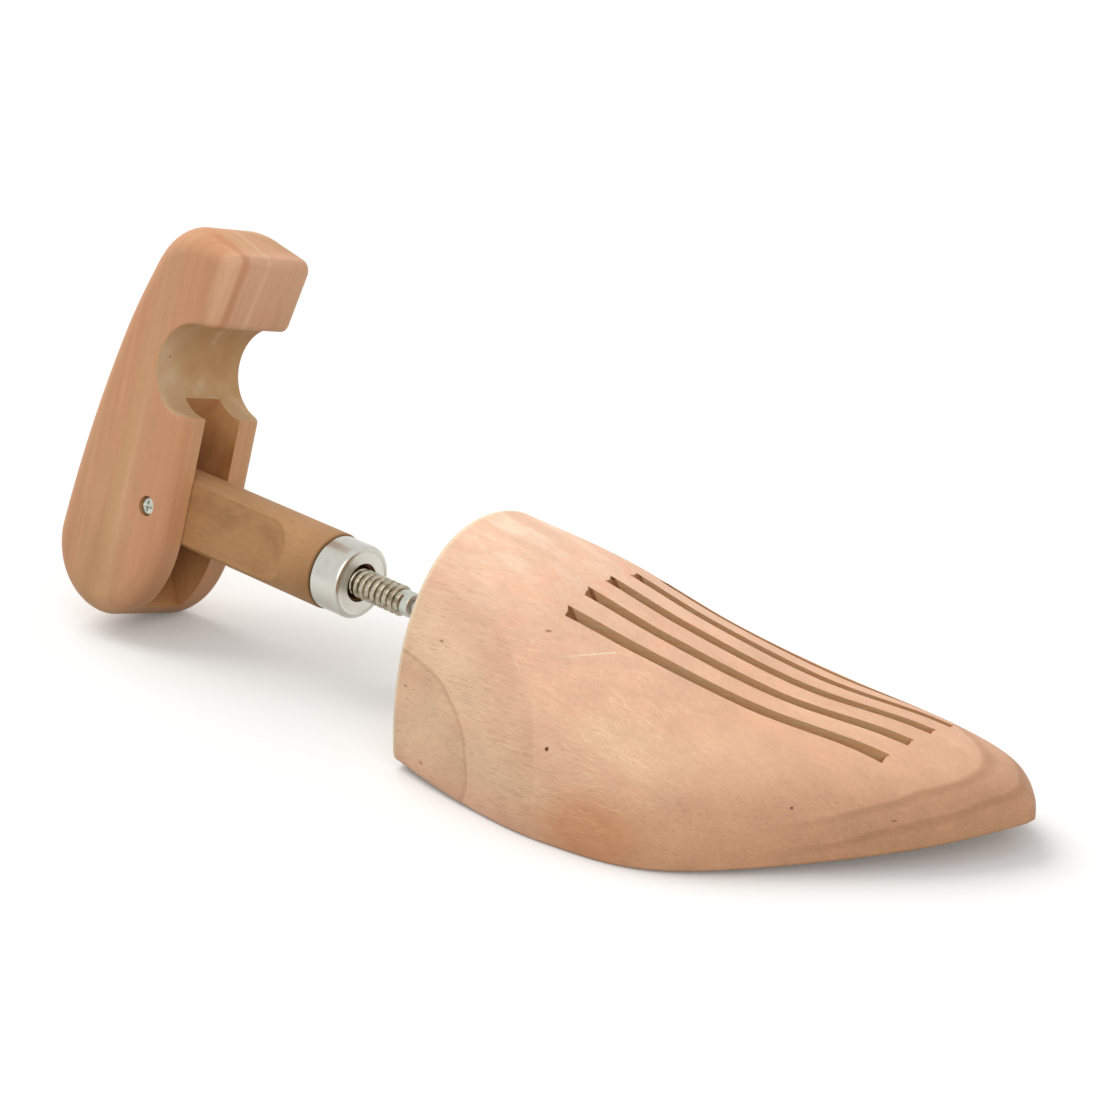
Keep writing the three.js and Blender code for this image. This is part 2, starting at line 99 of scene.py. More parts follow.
def millimetres(name, description, value):
    """A length that a user may change, given in millimetres."""
    return bpy.props.FloatProperty(
        name=name, description=description, default=value * MM,
        subtype="DISTANCE", unit="LENGTH", precision=4)


def degrees(name, description, value):
    """An angle that a user may change, given in degrees."""
    return bpy.props.FloatProperty(
        name=name, description=description, default=math.radians(value), subtype="ANGLE", unit="ROTATION")


def amount(name, description, value):
    """A plain number that a user may change."""
    return bpy.props.FloatProperty(name=name, description=description, default=value)


def linear(red, green, blue):
    """Scene-linear colour of display values from 0 to 255."""
    shares = np.array([red, green, blue]) / 255
    low = shares / 12.92
    high = ((shares + 0.055) / 1.055) ** 2.4
    return tuple(np.where(shares <= 0.04045, low, high))


def colour(name, description, red, green, blue):
    """A colour that a user may change, given as display values from 0 to 255."""
    return bpy.props.FloatVectorProperty(
        name=name, description=description, default=linear(red, green, blue),
        subtype="COLOR", size=3, min=0, max=1)


class ForepartSettings(bpy.types.PropertyGroup):
    """Sizes and colours of the forepart."""

    long: millimetres("Length", "From the flat rear face to the toe", 140.3)
    half: millimetres("Half width", "Half of the greatest width", 48.5)
    crown: millimetres("Crown", "Height of the crown at the rear face", 55.2)
    rim: millimetres("Rear rim", "Rounding of the rear face's edge", 0.75)
    vents: bpy.props.IntProperty(name="Vents", description="Number of vent slots", default=5, min=0, max=9)
    vent_width: millimetres("Vent width", "Width of a vent slot", 3.0)
    vent_pitch: millimetres("Vent pitch", "From one vent slot to the next", 8.35)
    vent_depth: millimetres("Vent depth", "Depth of a vent slot", 13.0)
    vent_turn: degrees("Vent turn", "Turn of the slots towards the far side", 13.7)
    pink: colour("Pink wood", "The pinker bands of the wood", 230, 182, 150)
    pale: colour("Pale wood", "The paler bands of the wood", 236, 200, 164)
    dark: colour("Late wood", "Ring lines and pores", 160, 108, 74)
    sawn: colour("Sawn wood", "Walls of the sawn slots", 212, 164, 120)


class HeelSettings(bpy.types.PropertyGroup):
    """Sizes and colours of the heel block and its screw."""

    height: millimetres("Height", "From the foot to the top of the hook", 104.9)
    foot: millimetres("Foot", "From the pivot down to the foot", 32.6)
    thick: millimetres("Thickness", "Thickness across the block", 30.2)
    edge: millimetres("Edge", "Rounding of the long edges", 5.4)
    front_edge: millimetres("Front edge", "Rounding of the front's edges", 3.6)
    finger: millimetres("Finger cut", "Radius of the finger cut", 12.2)
    slot: millimetres("Slot width", "Width of the slot for the shank's tongue", 12.6)
    screw_head: millimetres("Screw head", "Radius of the screw's head", 2.35)
    pink: colour("Pink wood", "The pinker bands of the wood", 209, 151, 113)
    tan: colour("Tan wood", "The yellower bands of the wood", 207, 160, 114)
    dark: colour("Dark streaks", "Thin streaks along the grain", 168, 113, 79)
    sawn: colour("Sawn wood", "The finger cut", 197, 157, 110)


class ShankSettings(bpy.types.PropertyGroup):
    """Sizes and colours of the shank and its ferrule."""

    pivot_back: millimetres("Pivot", "From the ferrule's face back to the heel's pivot", 64.2)
    dowel: millimetres("Dowel radius", "Radius of the dowel", 10.0)
    tongue: millimetres("Tongue", "Thickness of the tongue", 12.0)
    flat_start: millimetres("Flats", "From the ferrule's face back to where the flats run out", 28.8)
    ferrule: millimetres("Ferrule radius", "Outside radius of the ferrule", 9.6)
    ferrule_long: millimetres("Ferrule length", "Length of the ferrule", 8.9)
    wood: colour("Wood", "Colour of the dowel", 187, 140, 93)
    dark: colour("Dark wood", "Streaks and handling marks", 150, 106, 66)
    metal: colour("Ferrule metal", "Colour of the polished cap", 203, 203, 195)


class SpringSettings(bpy.types.PropertyGroup):
    """Sizes and colours of the coil spring and its stud."""

    wire: millimetres("Wire radius", "Radius of the spring wire", 0.95)
    coil: millimetres("Coil radius", "Radius to the middle of the wire", 2.9)
    pitch: millimetres("Pitch", "From one turn to the next", 2.02)
    rear: millimetres("Rear end", "From the ferrule's face back to the coil's rear end", 28.68)
    out: millimetres("Shown length", "From the ferrule's face to the coil's front end", 15.0)
    collar: millimetres("Collar radius", "Radius of the stud's collar", 3.2)
    rod: millimetres("Rod radius", "Radius of the stud's rod", 1.8)
    steel: colour("Spring steel", "Colour of the wire", 188, 181, 163)
    zinc: colour("Zinc", "Colour of the stud, the plug and the screw", 206, 208, 200)


class StudioSettings(bpy.types.PropertyGroup):
    """Camera, light and floor."""

    spot: bpy.props.FloatVectorProperty(
        name="Camera spot", description="Where the camera stands", default=(0.53518, -0.57631, 0.32044),
        subtype="TRANSLATION", unit="LENGTH", size=3)
    azimuth: degrees("Azimuth", "Camera's turn about the upright", 41.995)
    elevation: degrees("Elevation", "Camera's look down from the level", 19.3)
    lens: amount("Lens", "Focal length in millimetres", 113.4)
    backdrop: colour("Backdrop", "Colour of the floor and the background", 253, 253, 251)
    floor: colour("Floor", "Colour of the floor in bounced light", 178, 177, 175)
    shadowed: colour("Shadowed floor", "Colour of the floor's part that takes shadow", 248, 248, 246)
    plain_share: amount("Plain share", "Unlit share of the floor", 0.1)
    ambient: amount("Ambient", "Level of the light all round", 0.64)
    top_power: amount("Top light", "Power of the light above", 1.9)
    front_power: amount("Front light", "Power of the light in front", 0.7)
    spread: degrees("Spread", "Angle that each light covers", 48)


# Meshes

def add_object(name, data):
    """An object of the data, linked to the scene."""
    item = bpy.data.objects.new(name, data)
    bpy.context.scene.collection.objects.link(item)
    return item


def full_turn(sides):
    """Angles in even steps once round."""
    return np.arange(sides) * 2 * np.pi / sides


def quarter_turn(steps):
    """Angles in even steps from 0 to a quarter of a turn."""
    return np.linspace(0, np.pi / 2, steps)


def on_circle(centre, radius, angles):
    """Flat points at a radius and angles about a centre: (cos a, sin a) times the radius."""
    return centre + radius * np.column_stack([np.cos(angles), np.sin(angles)])


def bearing(centre, point):
    """Angle of a flat point as seen from the centre."""
    return np.arctan2(*(point - centre)[::-1])


def unit(vectors):
    """Vectors divided by their lengths."""
    return vectors / np.linalg.norm(vectors, axis=-1, keepdims=True)


def grid_faces(rows, columns):
    """Quads between the rows of a grid of points, each row closed from its last point to its first."""
    row = np.arange(rows - 1)[:, None] * columns
    here = np.arange(columns)[None, :]
    after = (here + 1) % columns
    corners = np.broadcast_arrays(row + here, row + after, row + columns + after, row + columns + here)
    return np.stack(corners, axis=-1).reshape(-1, 4)


def new_piece(name, points, faces, materials=(), finishes=None):
    """A closed piece from points and faces: doubles merged, poles closed, normals outward. Finishes number
    each face's material."""
    mesh = bpy.data.meshes.new(name)
    mesh.from_pydata(points.reshape(-1, 3).tolist(), [], [list(face) for face in faces])
    for material in materials:
        mesh.materials.append(material)
    if finishes is not None:
        mesh.polygons.foreach_set("material_index", np.asarray(finishes, np.int32))
    work = bmesh.new()
    work.from_mesh(mesh)
    bmesh.ops.remove_doubles(work, verts=work.verts, dist=WELD)
    bmesh.ops.dissolve_degenerate(work, edges=work.edges, dist=WELD)
    bmesh.ops.recalc_face_normals(work, faces=work.faces)
    work.to_mesh(mesh)
    work.free()
    return add_object(name, mesh)


def shade(piece, angle=SHARP_ANGLE):
    """Smooth shading, with edges sharper than the angle kept."""
    mesh = piece.data
    mesh.polygons.foreach_set("use_smooth", np.ones(len(mesh.polygons), bool))
    mesh.set_sharp_from_angle(angle=angle)
    mesh.update()


def smooth_piece(name, points, faces, material):
    """A closed piece of one material with smooth shading."""
    piece = new_piece(name, points, faces, [material])
    shade(piece)
    return piece


def carve(piece, cutters, finish=1):
    """Cuts the cutters out of the piece, the new walls in the piece's material of that number."""
    for cutter in cutters:
        for material in piece.data.materials:
            cutter.data.materials.append(material)
        cutter.data.polygons.foreach_set("material_index", np.full(len(cutter.data.polygons), finish))
        tool = piece.modifiers.new(cutter.name, "BOOLEAN")
        tool.operation = "DIFFERENCE"
        tool.solver = "EXACT"
        tool.object = cutter
    bpy.context.view_layer.update()
    ready = piece.evaluated_get(bpy.context.evaluated_depsgraph_get())
    carved = bpy.data.meshes.new_from_object(ready)
    piece.modifiers.clear()
    old = piece.data
    piece.data = carved
    bpy.data.meshes.remove(old)
    for cutter in cutters:
        bpy.data.objects.remove(cutter)


def on_shank(points, along=0.0):
    """Points of the shank's frame, from the pivot or a distance along from it, in the object's frame."""
    return PIVOT + along * SHANK_X + points @ SHANK_TURN.T


def lathe(profile, sides):
    """Profile points (along, radius) carried round the X axis: (along, radius cos a, radius sin a)."""
    along, radius = np.array(profile, float).T
    turn = full_turn(sides)
    points = np.empty((len(along), sides, 3))
    points[..., 0] = along[:, None]
    points[..., 1] = radius[:, None] * np.cos(turn)
    points[..., 2] = radius[:, None] * np.sin(turn)
    return points, grid_faces(len(along), sides)


def arc(along, radius, size, start, end, steps):
    """Profile points on a circle of that size about (along, radius), between two angles in degrees."""
    turn = np.linspace(math.radians(start), math.radians(end), steps)
    return on_circle((along, radius), size, turn)


def rod_profile(start, end, radius):
    """Profile of a plain rod with flat ends."""
    return [(start, 0), (start, radius), (end, radius), (end, 0)]


def smooth_step(value, low, high):
    """0 below low, 1 above high, and a smooth rise between them."""
    share = np.clip((value - low) / (high - low), 0, 1)
    return share * share * (3 - 2 * share)


def wobble(place, seed):
    """A smooth random line through place: a sum of sines with seeded phases, within about -1 to 1."""
    draw = np.random.default_rng(seed)
    waves = np.arange(1, 7)
    phases = draw.uniform(0, 2 * np.pi, len(waves))
    return np.sum(np.sin(place[..., None] * waves * WAVE_STEP + phases) / waves, axis=-1) / 2


# Materials

class Signal:
    """A socket of a material, with arithmetic that adds Math nodes."""

    def __init__(self, recipe, socket):
        self.recipe = recipe
        self.socket = socket

    def maths(self, operation, *terms):
        """A Math node on the terms in their order."""
        return self.recipe.add("ShaderNodeMath", {"operation": operation}, dict(enumerate(terms)))

    def __add__(self, other):
        return self.maths("ADD", self, other)

    def __sub__(self, other):
        return self.maths("SUBTRACT", self, other)

    def __rsub__(self, other):
        return self.maths("SUBTRACT", other, self)

    def __mul__(self, other):
        return self.maths("MULTIPLY", self, other)

    def __truediv__(self, other):
        return self.maths("DIVIDE", self, other)

    __radd__ = __add__
    __rmul__ = __mul__

    def rise(self, low, high, start=0.0, end=1.0):
        """A smooth rise from start to end as the signal goes from low to high."""
        return self.recipe.add("ShaderNodeMapRange", {"interpolation_type": "SMOOTHSTEP"}, {
            "Value": self, "From Min": low, "From Max": high, "To Min": start, "To Max": end})


ON_FOREPART = (FOREPART_ORIGIN, np.eye(3))
ON_SHANK = (PIVOT, SHANK_TURN)
SPOT_CORE = 0.35
STROKE_CORE = 0.3
MIX_INPUTS = (0, 6, 7)
MIX_RESULT = 2


def as_linear(tint):
    """Display values in a tuple become scene-linear; a setting's colour or a signal stays as it is."""
    return linear(*tint) if isinstance(tint, tuple) else tint


class Recipe:
    """A material under construction: nodes are added to it, and its shader's sockets are fed from them. Its
    places are millimetres in a frame of their own."""

    def __init__(self, name, origin, turn, **constants):
        self.material = bpy.data.materials.new(name)
        self.material.use_nodes = True
        self.tree = self.material.node_tree
        self.shader = self.tree.nodes["Principled BSDF"]
        self.set(**constants)
        self.place = self.add("ShaderNodeMapping", {"vector_type": "TEXTURE"}, {
            "Vector": self.add("ShaderNodeTexCoord", out="Object"), "Location": tuple(origin),
            "Scale": (MM, MM, MM), "Rotation": tuple(Matrix(turn.tolist()).to_euler())})
        self.along, self.side, self.up = self.axes(self.place)

    def feed(self, socket, value):
        """Links a signal to a socket, or sets the socket's own value."""
        if isinstance(value, Signal):
            self.tree.links.new(value.socket, socket)
        elif hasattr(socket.default_value, "__len__") and len(socket.default_value) == 4:
            socket.default_value = (*value, 1)
        else:
            socket.default_value = value

    def add(self, kind, settings=None, sockets=None, out=0):
        """Any node: its settings, then the values or signals of its sockets; gives its output as a signal."""
        node = self.tree.nodes.new(kind)
        for key, value in (settings or {}).items():
            setattr(node, key, value)
        for key, value in (sockets or {}).items():
            self.feed(node.inputs[key], value)
        return Signal(self, node.outputs[out])

    def set(self, **values):
        """Feeds the shader's own sockets."""
        for socket, value in values.items():
            self.feed(self.shader.inputs[socket.replace("_", " ")], value)

    def vector(self, operation, *terms, out="Vector", **named):
        """A Vector Math node on the terms in their order."""
        sockets = {**dict(enumerate(terms)), **named}
        return self.add("ShaderNodeVectorMath", {"operation": operation}, sockets, out)

    def axes(self, vector):
        """The X, Y and Z of a vector."""
        return [self.add("ShaderNodeSeparateXYZ", None, {0: vector}, name) for name in "XYZ"]

    def distance(self, first, second):
        """The square root of the sum of two squares."""
        square = first * first + second * second
        return square.maths("SQRT", square)

    def noise(self, grain, detail=2.0, roughness=0.5, distortion=0.0, at=None):
        """Smooth noise from 0 to 1; its grain per millimetre is one number, or three for X, Y and Z."""
        vector = at or self.place
        if isinstance(grain, tuple):
            vector, grain = self.vector("MULTIPLY", vector, grain), 1.0
        return self.add("ShaderNodeTexNoise", None, {
            "Vector": vector, "Scale": grain, "Detail": detail, "Roughness": roughness,
            "Distortion": distortion})

    def paint(self, ground, *layers):
        """A ground colour under layers, each a share and a colour; colours in tuples are display values."""
        tint = as_linear(ground)
        for share, layer in layers:
            sockets = dict(zip(MIX_INPUTS, (share, tint, as_linear(layer))))
            tint = self.add("ShaderNodeMix", {"data_type": "RGBA"}, sockets, MIX_RESULT)
        return tint

    def turned(self, *angles, at=None):
        """A vector in a frame turned by angles in degrees about X, Y and Z."""
        rotation = tuple(math.radians(angle) for angle in angles)
        return self.add("ShaderNodeMapping", None, {"Vector": at or self.place, "Rotation": rotation})

    def spot(self, centre, radii):
        """1 inside an ellipsoid, falling to 0 at its surface."""
        away = self.vector("SUBTRACT", self.place, centre)
        away = self.vector("MULTIPLY", away, tuple(1 / radius for radius in radii))
        return self.vector("LENGTH", away, out="Value").rise(1.0, SPOT_CORE)

    def stroke(self, start, end, width, through):
        """1 on a straight stroke from start to end, at any depth in the direction through, falling to 0 at
        its width."""
        run = tuple(np.subtract(end, start))
        away = self.vector("SUBTRACT", self.place, start)
        depth = self.vector("DOT_PRODUCT", away, through, out="Value")
        away = self.vector("SUBTRACT", away, self.vector("SCALE", through, Scale=depth))
        along = self.vector("DOT_PRODUCT", away, run, out="Value")
        share = self.add("ShaderNodeClamp", None, {0: along / float(np.dot(run, run))})
        gap = self.vector("DISTANCE", away, self.vector("SCALE", run, Scale=share), out="Value")
        return gap.rise(width, width * STROKE_CORE)

    def marks(self, grain, low, high, angles=(0, 0, 0)):
        """Short straight marks: noise drawn out in one direction, cut off below a level."""
        return self.noise(grain, 1.0, at=self.turned(*angles)).rise(low, high)

    def facing(self, low, high):
        """0 to 1 as the surface turns to face up: by the upright part of its normal."""
        normal = self.add("ShaderNodeTexCoord", out="Normal")
        return self.axes(normal)[2].rise(low, high)

    def finish(self, tint, level, roughness, height, strength, depth):
        """Feeds the shader: the tint times a level, the roughness, and a bump of a depth in millimetres."""
        tint = self.vector("SCALE", tint, Scale=level)
        normal = self.add("ShaderNodeBump", None, {
            "Height": height, "Strength": strength, "Distance": depth * MM})
        self.set(Base_Color=tint, Roughness=roughness, Normal=normal)
        return self.material


# Marks and a patch of painted shade on the forepart, in degrees and millimetres from the foot of its rear
# face
SPECKS = ((52.7, -37.3, 20.5, 0.75), (106.2, -16.1, 14.8, 0.45))
CHIPS = (
    (4.1, -32.8, 21.6), (12.3, -36.5, 5.5), (123.3, -1.4, 11.9), (13.0, -29.6, 34.2), (38.0, -20.3, 40.4))
CHIP_RADII = (1.1, 0.9, 0.36)
SCRATCH = ((44.3, -23.8, 36.7), (52.9, -14.0, 37.2), 0.34, (0.689, -0.626, 0.365))
RING_MIDDLE = (-2.0, 8.0)
RING_RADII = (32.0, 22.0)
END_HEART = (-8.0, -34.0)
PAINTED_SHADE_PATCH = ((68.0, -41.0, 6.0), (19.0, 15.0, 11.0))
NAP_PATCH = ((50.0, -30.0, 27.0), (50.0, 40.0, 30.0))
NAP_ANGLES = (-7, 27)

# Grain, marks and a painted highlight of the heel block, in degrees and millimetres in the shank's frame
GRAIN_SLANT = -43
GRAIN_FRONT = 3.0
PAINTED_EDGE_HIGHLIGHT = ((9.0, -14.0, 57.0), (5.0, 3.4, 17.0))
DARK_STREAK = ((0, -10.8, 47.0), (0, -10.2, 76.0), 2.0, (1, 0, 0))
PALE_STREAK = ((0, -3.0, 47.0), (0, -1.6, 76.0), 0.9, (1, 0, 0))
BORE_FLECK = ((-7.1, -11.1, 38.1), (0.6, 0.5, 0.5))


def growth_rings(recipe):
    """Ring arcs on the sides near the rear: ellipses round a middle behind the rear face. Each darkens slowly
    to a thin line and then stops."""
    ahead = (recipe.along - RING_MIDDLE[0]) / RING_RADII[0]
    above = (recipe.up - RING_MIDDLE[1]) / RING_RADII[1]
    reach = recipe.distance(ahead, above) + (recipe.noise(0.05) - 0.5) * 0.14
    shown = recipe.side.maths("ABSOLUTE", recipe.side).rise(13.0, 26.0)
    first = reach.rise(0.5, 1.0, 0.1, 0.32) * reach.rise(1.012, 1.0)
    line = reach.rise(0.955, 0.99) * reach.rise(1.025, 0.995)
    second = reach.rise(1.35, 1.68, 0.0, 0.2) * reach.rise(1.72, 1.68)
    return (first + line * 0.36 + second) * shown


def toe_bands(recipe):
    """Darker layers across the toe, each level but for a rise to the far side."""
    level = recipe.up - recipe.side * 0.2 - recipe.along * 0.027 + (recipe.noise(0.06) - 0.5) * 3.0
    below = level.rise(12.9, 11.9, 0.0, 0.5)
    upper = level.rise(10.4, 11.8) * level.rise(13.0, 12.1)
    lower = level.rise(4.6, 6.3) * level.rise(7.6, 6.8)
    return (below + upper * 0.4 + lower * 0.5) * recipe.along.rise(96.0, 122.0)


def end_grain(recipe):
    """Sawn end of the wood: end grain's darker brown, in part painted shade, with growth rings round a heart
    below the sole and fine pores.
    """
    reach = recipe.distance(recipe.side - END_HEART[0], recipe.up - END_HEART[1])
    wave = reach * 2.6 + recipe.noise((0.0, 0.06, 0.06), 3.0) * 12.0
    rings = wave.maths("SINE", wave).rise(-0.6, 1.0)
    pores = recipe.marks((0.1, 3.0, 3.0), 0.56, 0.7)
    return recipe.paint((194, 147, 110), (rings * 0.3, (146, 100, 66)), (pores * 0.4, (120, 78, 48)))


def hatch(recipe, angle, low, high):
    """Fine sanding lines that lie in the surface: turned about Y on the sides and about Z on the top."""
    top = recipe.facing(0.5, 0.75)
    upright = recipe.marks((0.2, 0.45, 3.3), low, high, (0, angle, 0))
    level = recipe.marks((0.2, 3.3, 0.45), low, high, (0, 0, angle))
    return upright * (1 - top) + level * top


def forepart_wood(sizes):
    """Pale sanded beech: pink and pale drifts, ring arcs at the rear, bands at the toe, a sanded nap, specks
    and a scratch; painted light pales the crown, and painted shade darkens the sides and, in part, the rear
    face."""
    recipe = Recipe("forepart_beech", *ON_FOREPART, Specular_IOR_Level=0.3)
    along, up = recipe.along, recipe.up
    fibres = recipe.noise((0.06, 1.1, 1.1), 3.0, 0.65)
    drift = recipe.noise((0.02, 0.045, 0.05), 2.0, 0.5, 0.5)
    mottle = recipe.noise((0.1, 0.16, 0.16), 3.0, 0.6)
    grain = recipe.noise((0.5, 1.3, 1.3), 3.0, 0.7)
    cloud = recipe.noise((0.04, 0.08, 0.09), 3.0, 0.55)
    streak = recipe.noise((0.035, 0.16, 0.16), 5.0, 0.65)
    front = along.rise(35.0, 112.0)
    top = recipe.facing(0.45, 0.9)
    crown = up.rise(37.0, 52.0)
    pinker = up.rise(26.0, 42.0) * along.rise(8.0, 40.0)
    # mask of the painted shade low on the sides
    low = up.rise(24.0, 3.0) * along.rise(30.0, 80.0)
    tufts = mottle.rise(0.26, 0.62) * (recipe.spot(*NAP_PATCH) * 0.85 + 0.15)
    nap = hatch(recipe, NAP_ANGLES[0], 0.5, 0.74)
    cross = hatch(recipe, NAP_ANGLES[1], 0.52, 0.76)
    pores = recipe.marks((0.22, 1.6, 2.2), 0.57, 0.72)
    scratch = recipe.stroke(*SCRATCH) * along.rise(43.0, 50.0, 0.3, 1.0)
    specks = [recipe.spot(centre, (radius, radius, radius)) for *centre, radius in SPECKS]
    chips = [recipe.spot(centre, CHIP_RADII) for centre in CHIPS]
    tint = recipe.paint(
        sizes.pink,
        (drift.rise(0.36, 0.64) * (0.8 - front * 0.55), sizes.pale),
        # more orange towards the toe as the wood's own tone; less of it on faces that look up, which is
        # painted light on the top and painted shade on the sides
        (front * (0.75 - top * 0.4), (208, 157, 122)),
        # painted light: the crown made paler towards its top; its pale streaks run with the grain and are in
        # part a painted highlight
        (crown * 0.55, (246, 203, 174)),
        (crown * streak.rise(0.44, 0.66) * 0.65, (255, 226, 200)),
        (pinker * 0.5, (237, 190, 160)),
        (pinker * mottle.rise(0.5, 0.66) * 0.5, (240, 172, 146)),
        # painted shade: darker and more orange low on the sides, where they turn under to the sole, most of
        # all in a patch on the near side at the ball
        (low * 0.55, (208, 154, 112)),
        (recipe.spot(*PAINTED_SHADE_PATCH) * 0.6, (200, 134, 88)),
        (toe_bands(recipe) * 0.56, (160, 112, 76)),
        (growth_rings(recipe) * 0.5, sizes.dark),
        ((nap + cross) * tufts * 0.38, (250, 218, 178)),
        # pores show less on faces that look up: painted light on the top
        (pores * (0.2 - top * 0.13), sizes.dark),
        (scratch * 0.55, (252, 228, 194)),
        (along.rise(1.7, 1.0) * 0.8, (240, 219, 188)),
        # the rear face: end grain, its darker brown in part painted shade
        (along.rise(0.3, 0.05), end_grain(recipe)),
        *((speck, (104, 48, 22)) for speck in specks),
        *((chip * 0.65, (134, 80, 46)) for chip in chips))
    level = fibres * 0.2 + grain * 0.18 + mottle * 0.2 + cloud.rise(0.32, 0.68) * 0.09 + 0.657
    height = fibres * 0.4 + (nap + cross) * 0.35 - pores * 0.4 - scratch * 0.8 - sum(chips) * 1.2
    return recipe.finish(tint, level, fibres * 0.16 + 0.48, height, 0.3, 0.3)


def vent_wood(sizes):
    """Sawn walls of the vents: grey-tan with streaks along the cut, brown and torn on the end walls."""
    recipe = Recipe("vent_sawn", *ON_FOREPART, Specular_IOR_Level=0.2)
    cut = recipe.turned(0, 0, -math.degrees(sizes.vent_turn))
    streaks = recipe.noise((0.05, 0.6, 1.3), 3.0, 0.6, at=cut)
    torn = recipe.noise((0.6, 0.6, 1.6), 3.0, 0.7)
    lean = math.tan(VENT_END_SLOPE)
    rear, front = (end / MM for end in VENT_ENDS)
    rear_top, front_top = (crown_at(sizes, end) / MM for end in VENT_ENDS)
    behind = recipe.along - rear - (rear_top - recipe.up) * lean
    ahead = front - (front_top - recipe.up) * lean - recipe.along
    burn = (behind + torn * 0.9).rise(1.1, 0.5)
    tint = recipe.paint(
        sizes.sawn,
        (streaks.rise(0.35, 0.65), (206, 172, 130)),
        (burn * 0.75, (150, 90, 52)),
        (burn * torn.rise(0.52, 0.62) * 0.7, (84, 40, 20)),
        ((ahead + torn * 1.4).rise(2.2, 1.0) * 0.6, (206, 150, 110)))
    return recipe.finish(tint, torn * 0.25 + 0.88, torn * 0.2 + 0.6, torn + streaks, 0.4, 0.35)


def heel_grain(recipe):
    """Layers of the heel block: upright sheets that stand at a slant to its side and turn forwards near its
    front. Gives broad, middling and fine layers."""
    along = recipe.along.maths("MINIMUM", recipe.along, GRAIN_FRONT)
    bent = recipe.add("ShaderNodeCombineXYZ", None, {0: along, 1: recipe.side, 2: recipe.up})
    slant = recipe.turned(0, 0, GRAIN_SLANT, at=bent)
    broad = recipe.noise((0.012, 0.11, 0.005), 2.0, 0.5, at=slant)
    middling = recipe.noise((0.01, 0.24, 0.007), 2.0, 0.55, at=slant)
    fine = recipe.noise((0.2, 1.5, 0.03), 3.0, 0.6, at=slant)
    return broad, middling, fine


def heel_wood(sizes):
    """Beech with straight streaks up the block: pink and tan layers, dark and pale streaks, short flecks, a
    painted edge highlight.
    """
    recipe = Recipe("heel_beech", *ON_SHANK, Specular_IOR_Level=0.35)
    broad, middling, fine = heel_grain(recipe)
    mottle = recipe.noise((0.09, 0.09, 0.05), 4.0, 0.6)
    ahead = recipe.along.rise(-12.0, 2.0)
    flecks = recipe.marks((2.4, 2.4, 0.35), 0.64, 0.75)
    tint = recipe.paint(
        sizes.pink,
        (broad.rise(0.38, 0.62), sizes.tan),
        (middling.rise(0.52, 0.76) * 0.45, sizes.dark),
        (middling.rise(0.46, 0.3) * 0.4, (228, 180, 140)),
        (mottle.rise(0.5, 0.68) * 0.35, (198, 148, 100)),
        (recipe.up.rise(2.0, -30.0) * 0.45, (180, 132, 88)),
        (recipe.along.rise(5.0, 12.0) * 0.6, (230, 182, 150)),
        # painted highlight: the rounded near front edge of the hook made paler, where it catches the light
        (recipe.spot(*PAINTED_EDGE_HIGHLIGHT) * 0.45, (232, 186, 146)),
        (recipe.stroke(*DARK_STREAK) * ahead * 0.42, (194, 122, 72)),
        (recipe.stroke(*PALE_STREAK) * ahead * 0.35, (238, 196, 160)),
        (flecks * 0.22, sizes.dark))
    level = fine * 0.24 + mottle * 0.2 + 0.78
    return recipe.finish(tint, level, fine * 0.15 + 0.44, fine - flecks * 0.5, 0.22, 0.22)


def bored_wood(sizes):
    """The drilled finger cut: dull tan with cloudy pale patches and faint turns of the drill."""
    recipe = Recipe("heel_bored", *ON_SHANK, Specular_IOR_Level=0.2)
    clouds = recipe.noise((0.05, 0.06, 0.05), 4.0, 0.5)
    turns = recipe.noise((0.15, 2.2, 0.15))
    smudge = recipe.noise((0.09, 0.12, 0.09), 3.0, 0.5)
    tint = recipe.paint(
        sizes.sawn,
        ((recipe.side + clouds * 14.0).rise(8.0, -6.0) * 0.55, (206, 177, 143)),
        ((recipe.up + clouds * 6.0).rise(38.0, 29.0) * 0.4, (214, 184, 146)),
        (smudge.rise(0.48, 0.66) * 0.6, (186, 142, 92)),
        (smudge.rise(0.46, 0.34) * 0.5, (218, 190, 156)),
        (clouds.rise(0.45, 0.3) * 0.3, (168, 124, 76)),
        (recipe.spot(*BORE_FLECK) * 0.7, (112, 84, 58)))
    return recipe.finish(tint, turns * 0.14 + 0.93, clouds * 0.2 + 0.5, turns + clouds, 0.3, 0.3)


def slot_wood():
    """Sawn walls of the heel's slot: brown, with curved saw lines, lighter low down and near the top, low
    down as painted light.
    """
    recipe = Recipe("heel_slot", *ON_SHANK, Specular_IOR_Level=0.2)
    lines = recipe.noise((0.9, 0.3, 0.12), 3.0, 0.6)
    stain = recipe.noise((0.08, 0.08, 0.05))
    # lighter low in the slot and near its top: at the low end this is painted light over the slot's shade
    ends = recipe.up.rise(0.0, -14.0) * 0.35 + recipe.up.rise(14.0, 24.0) * 0.5
    tint = recipe.paint(
        (190, 140, 92), (stain.rise(0.4, 0.65), (164, 112, 66)), (ends, (216, 164, 110)))
    return recipe.finish(tint, lines * 0.3 + 0.85, lines * 0.2 + 0.6, lines, 0.35, 0.3)


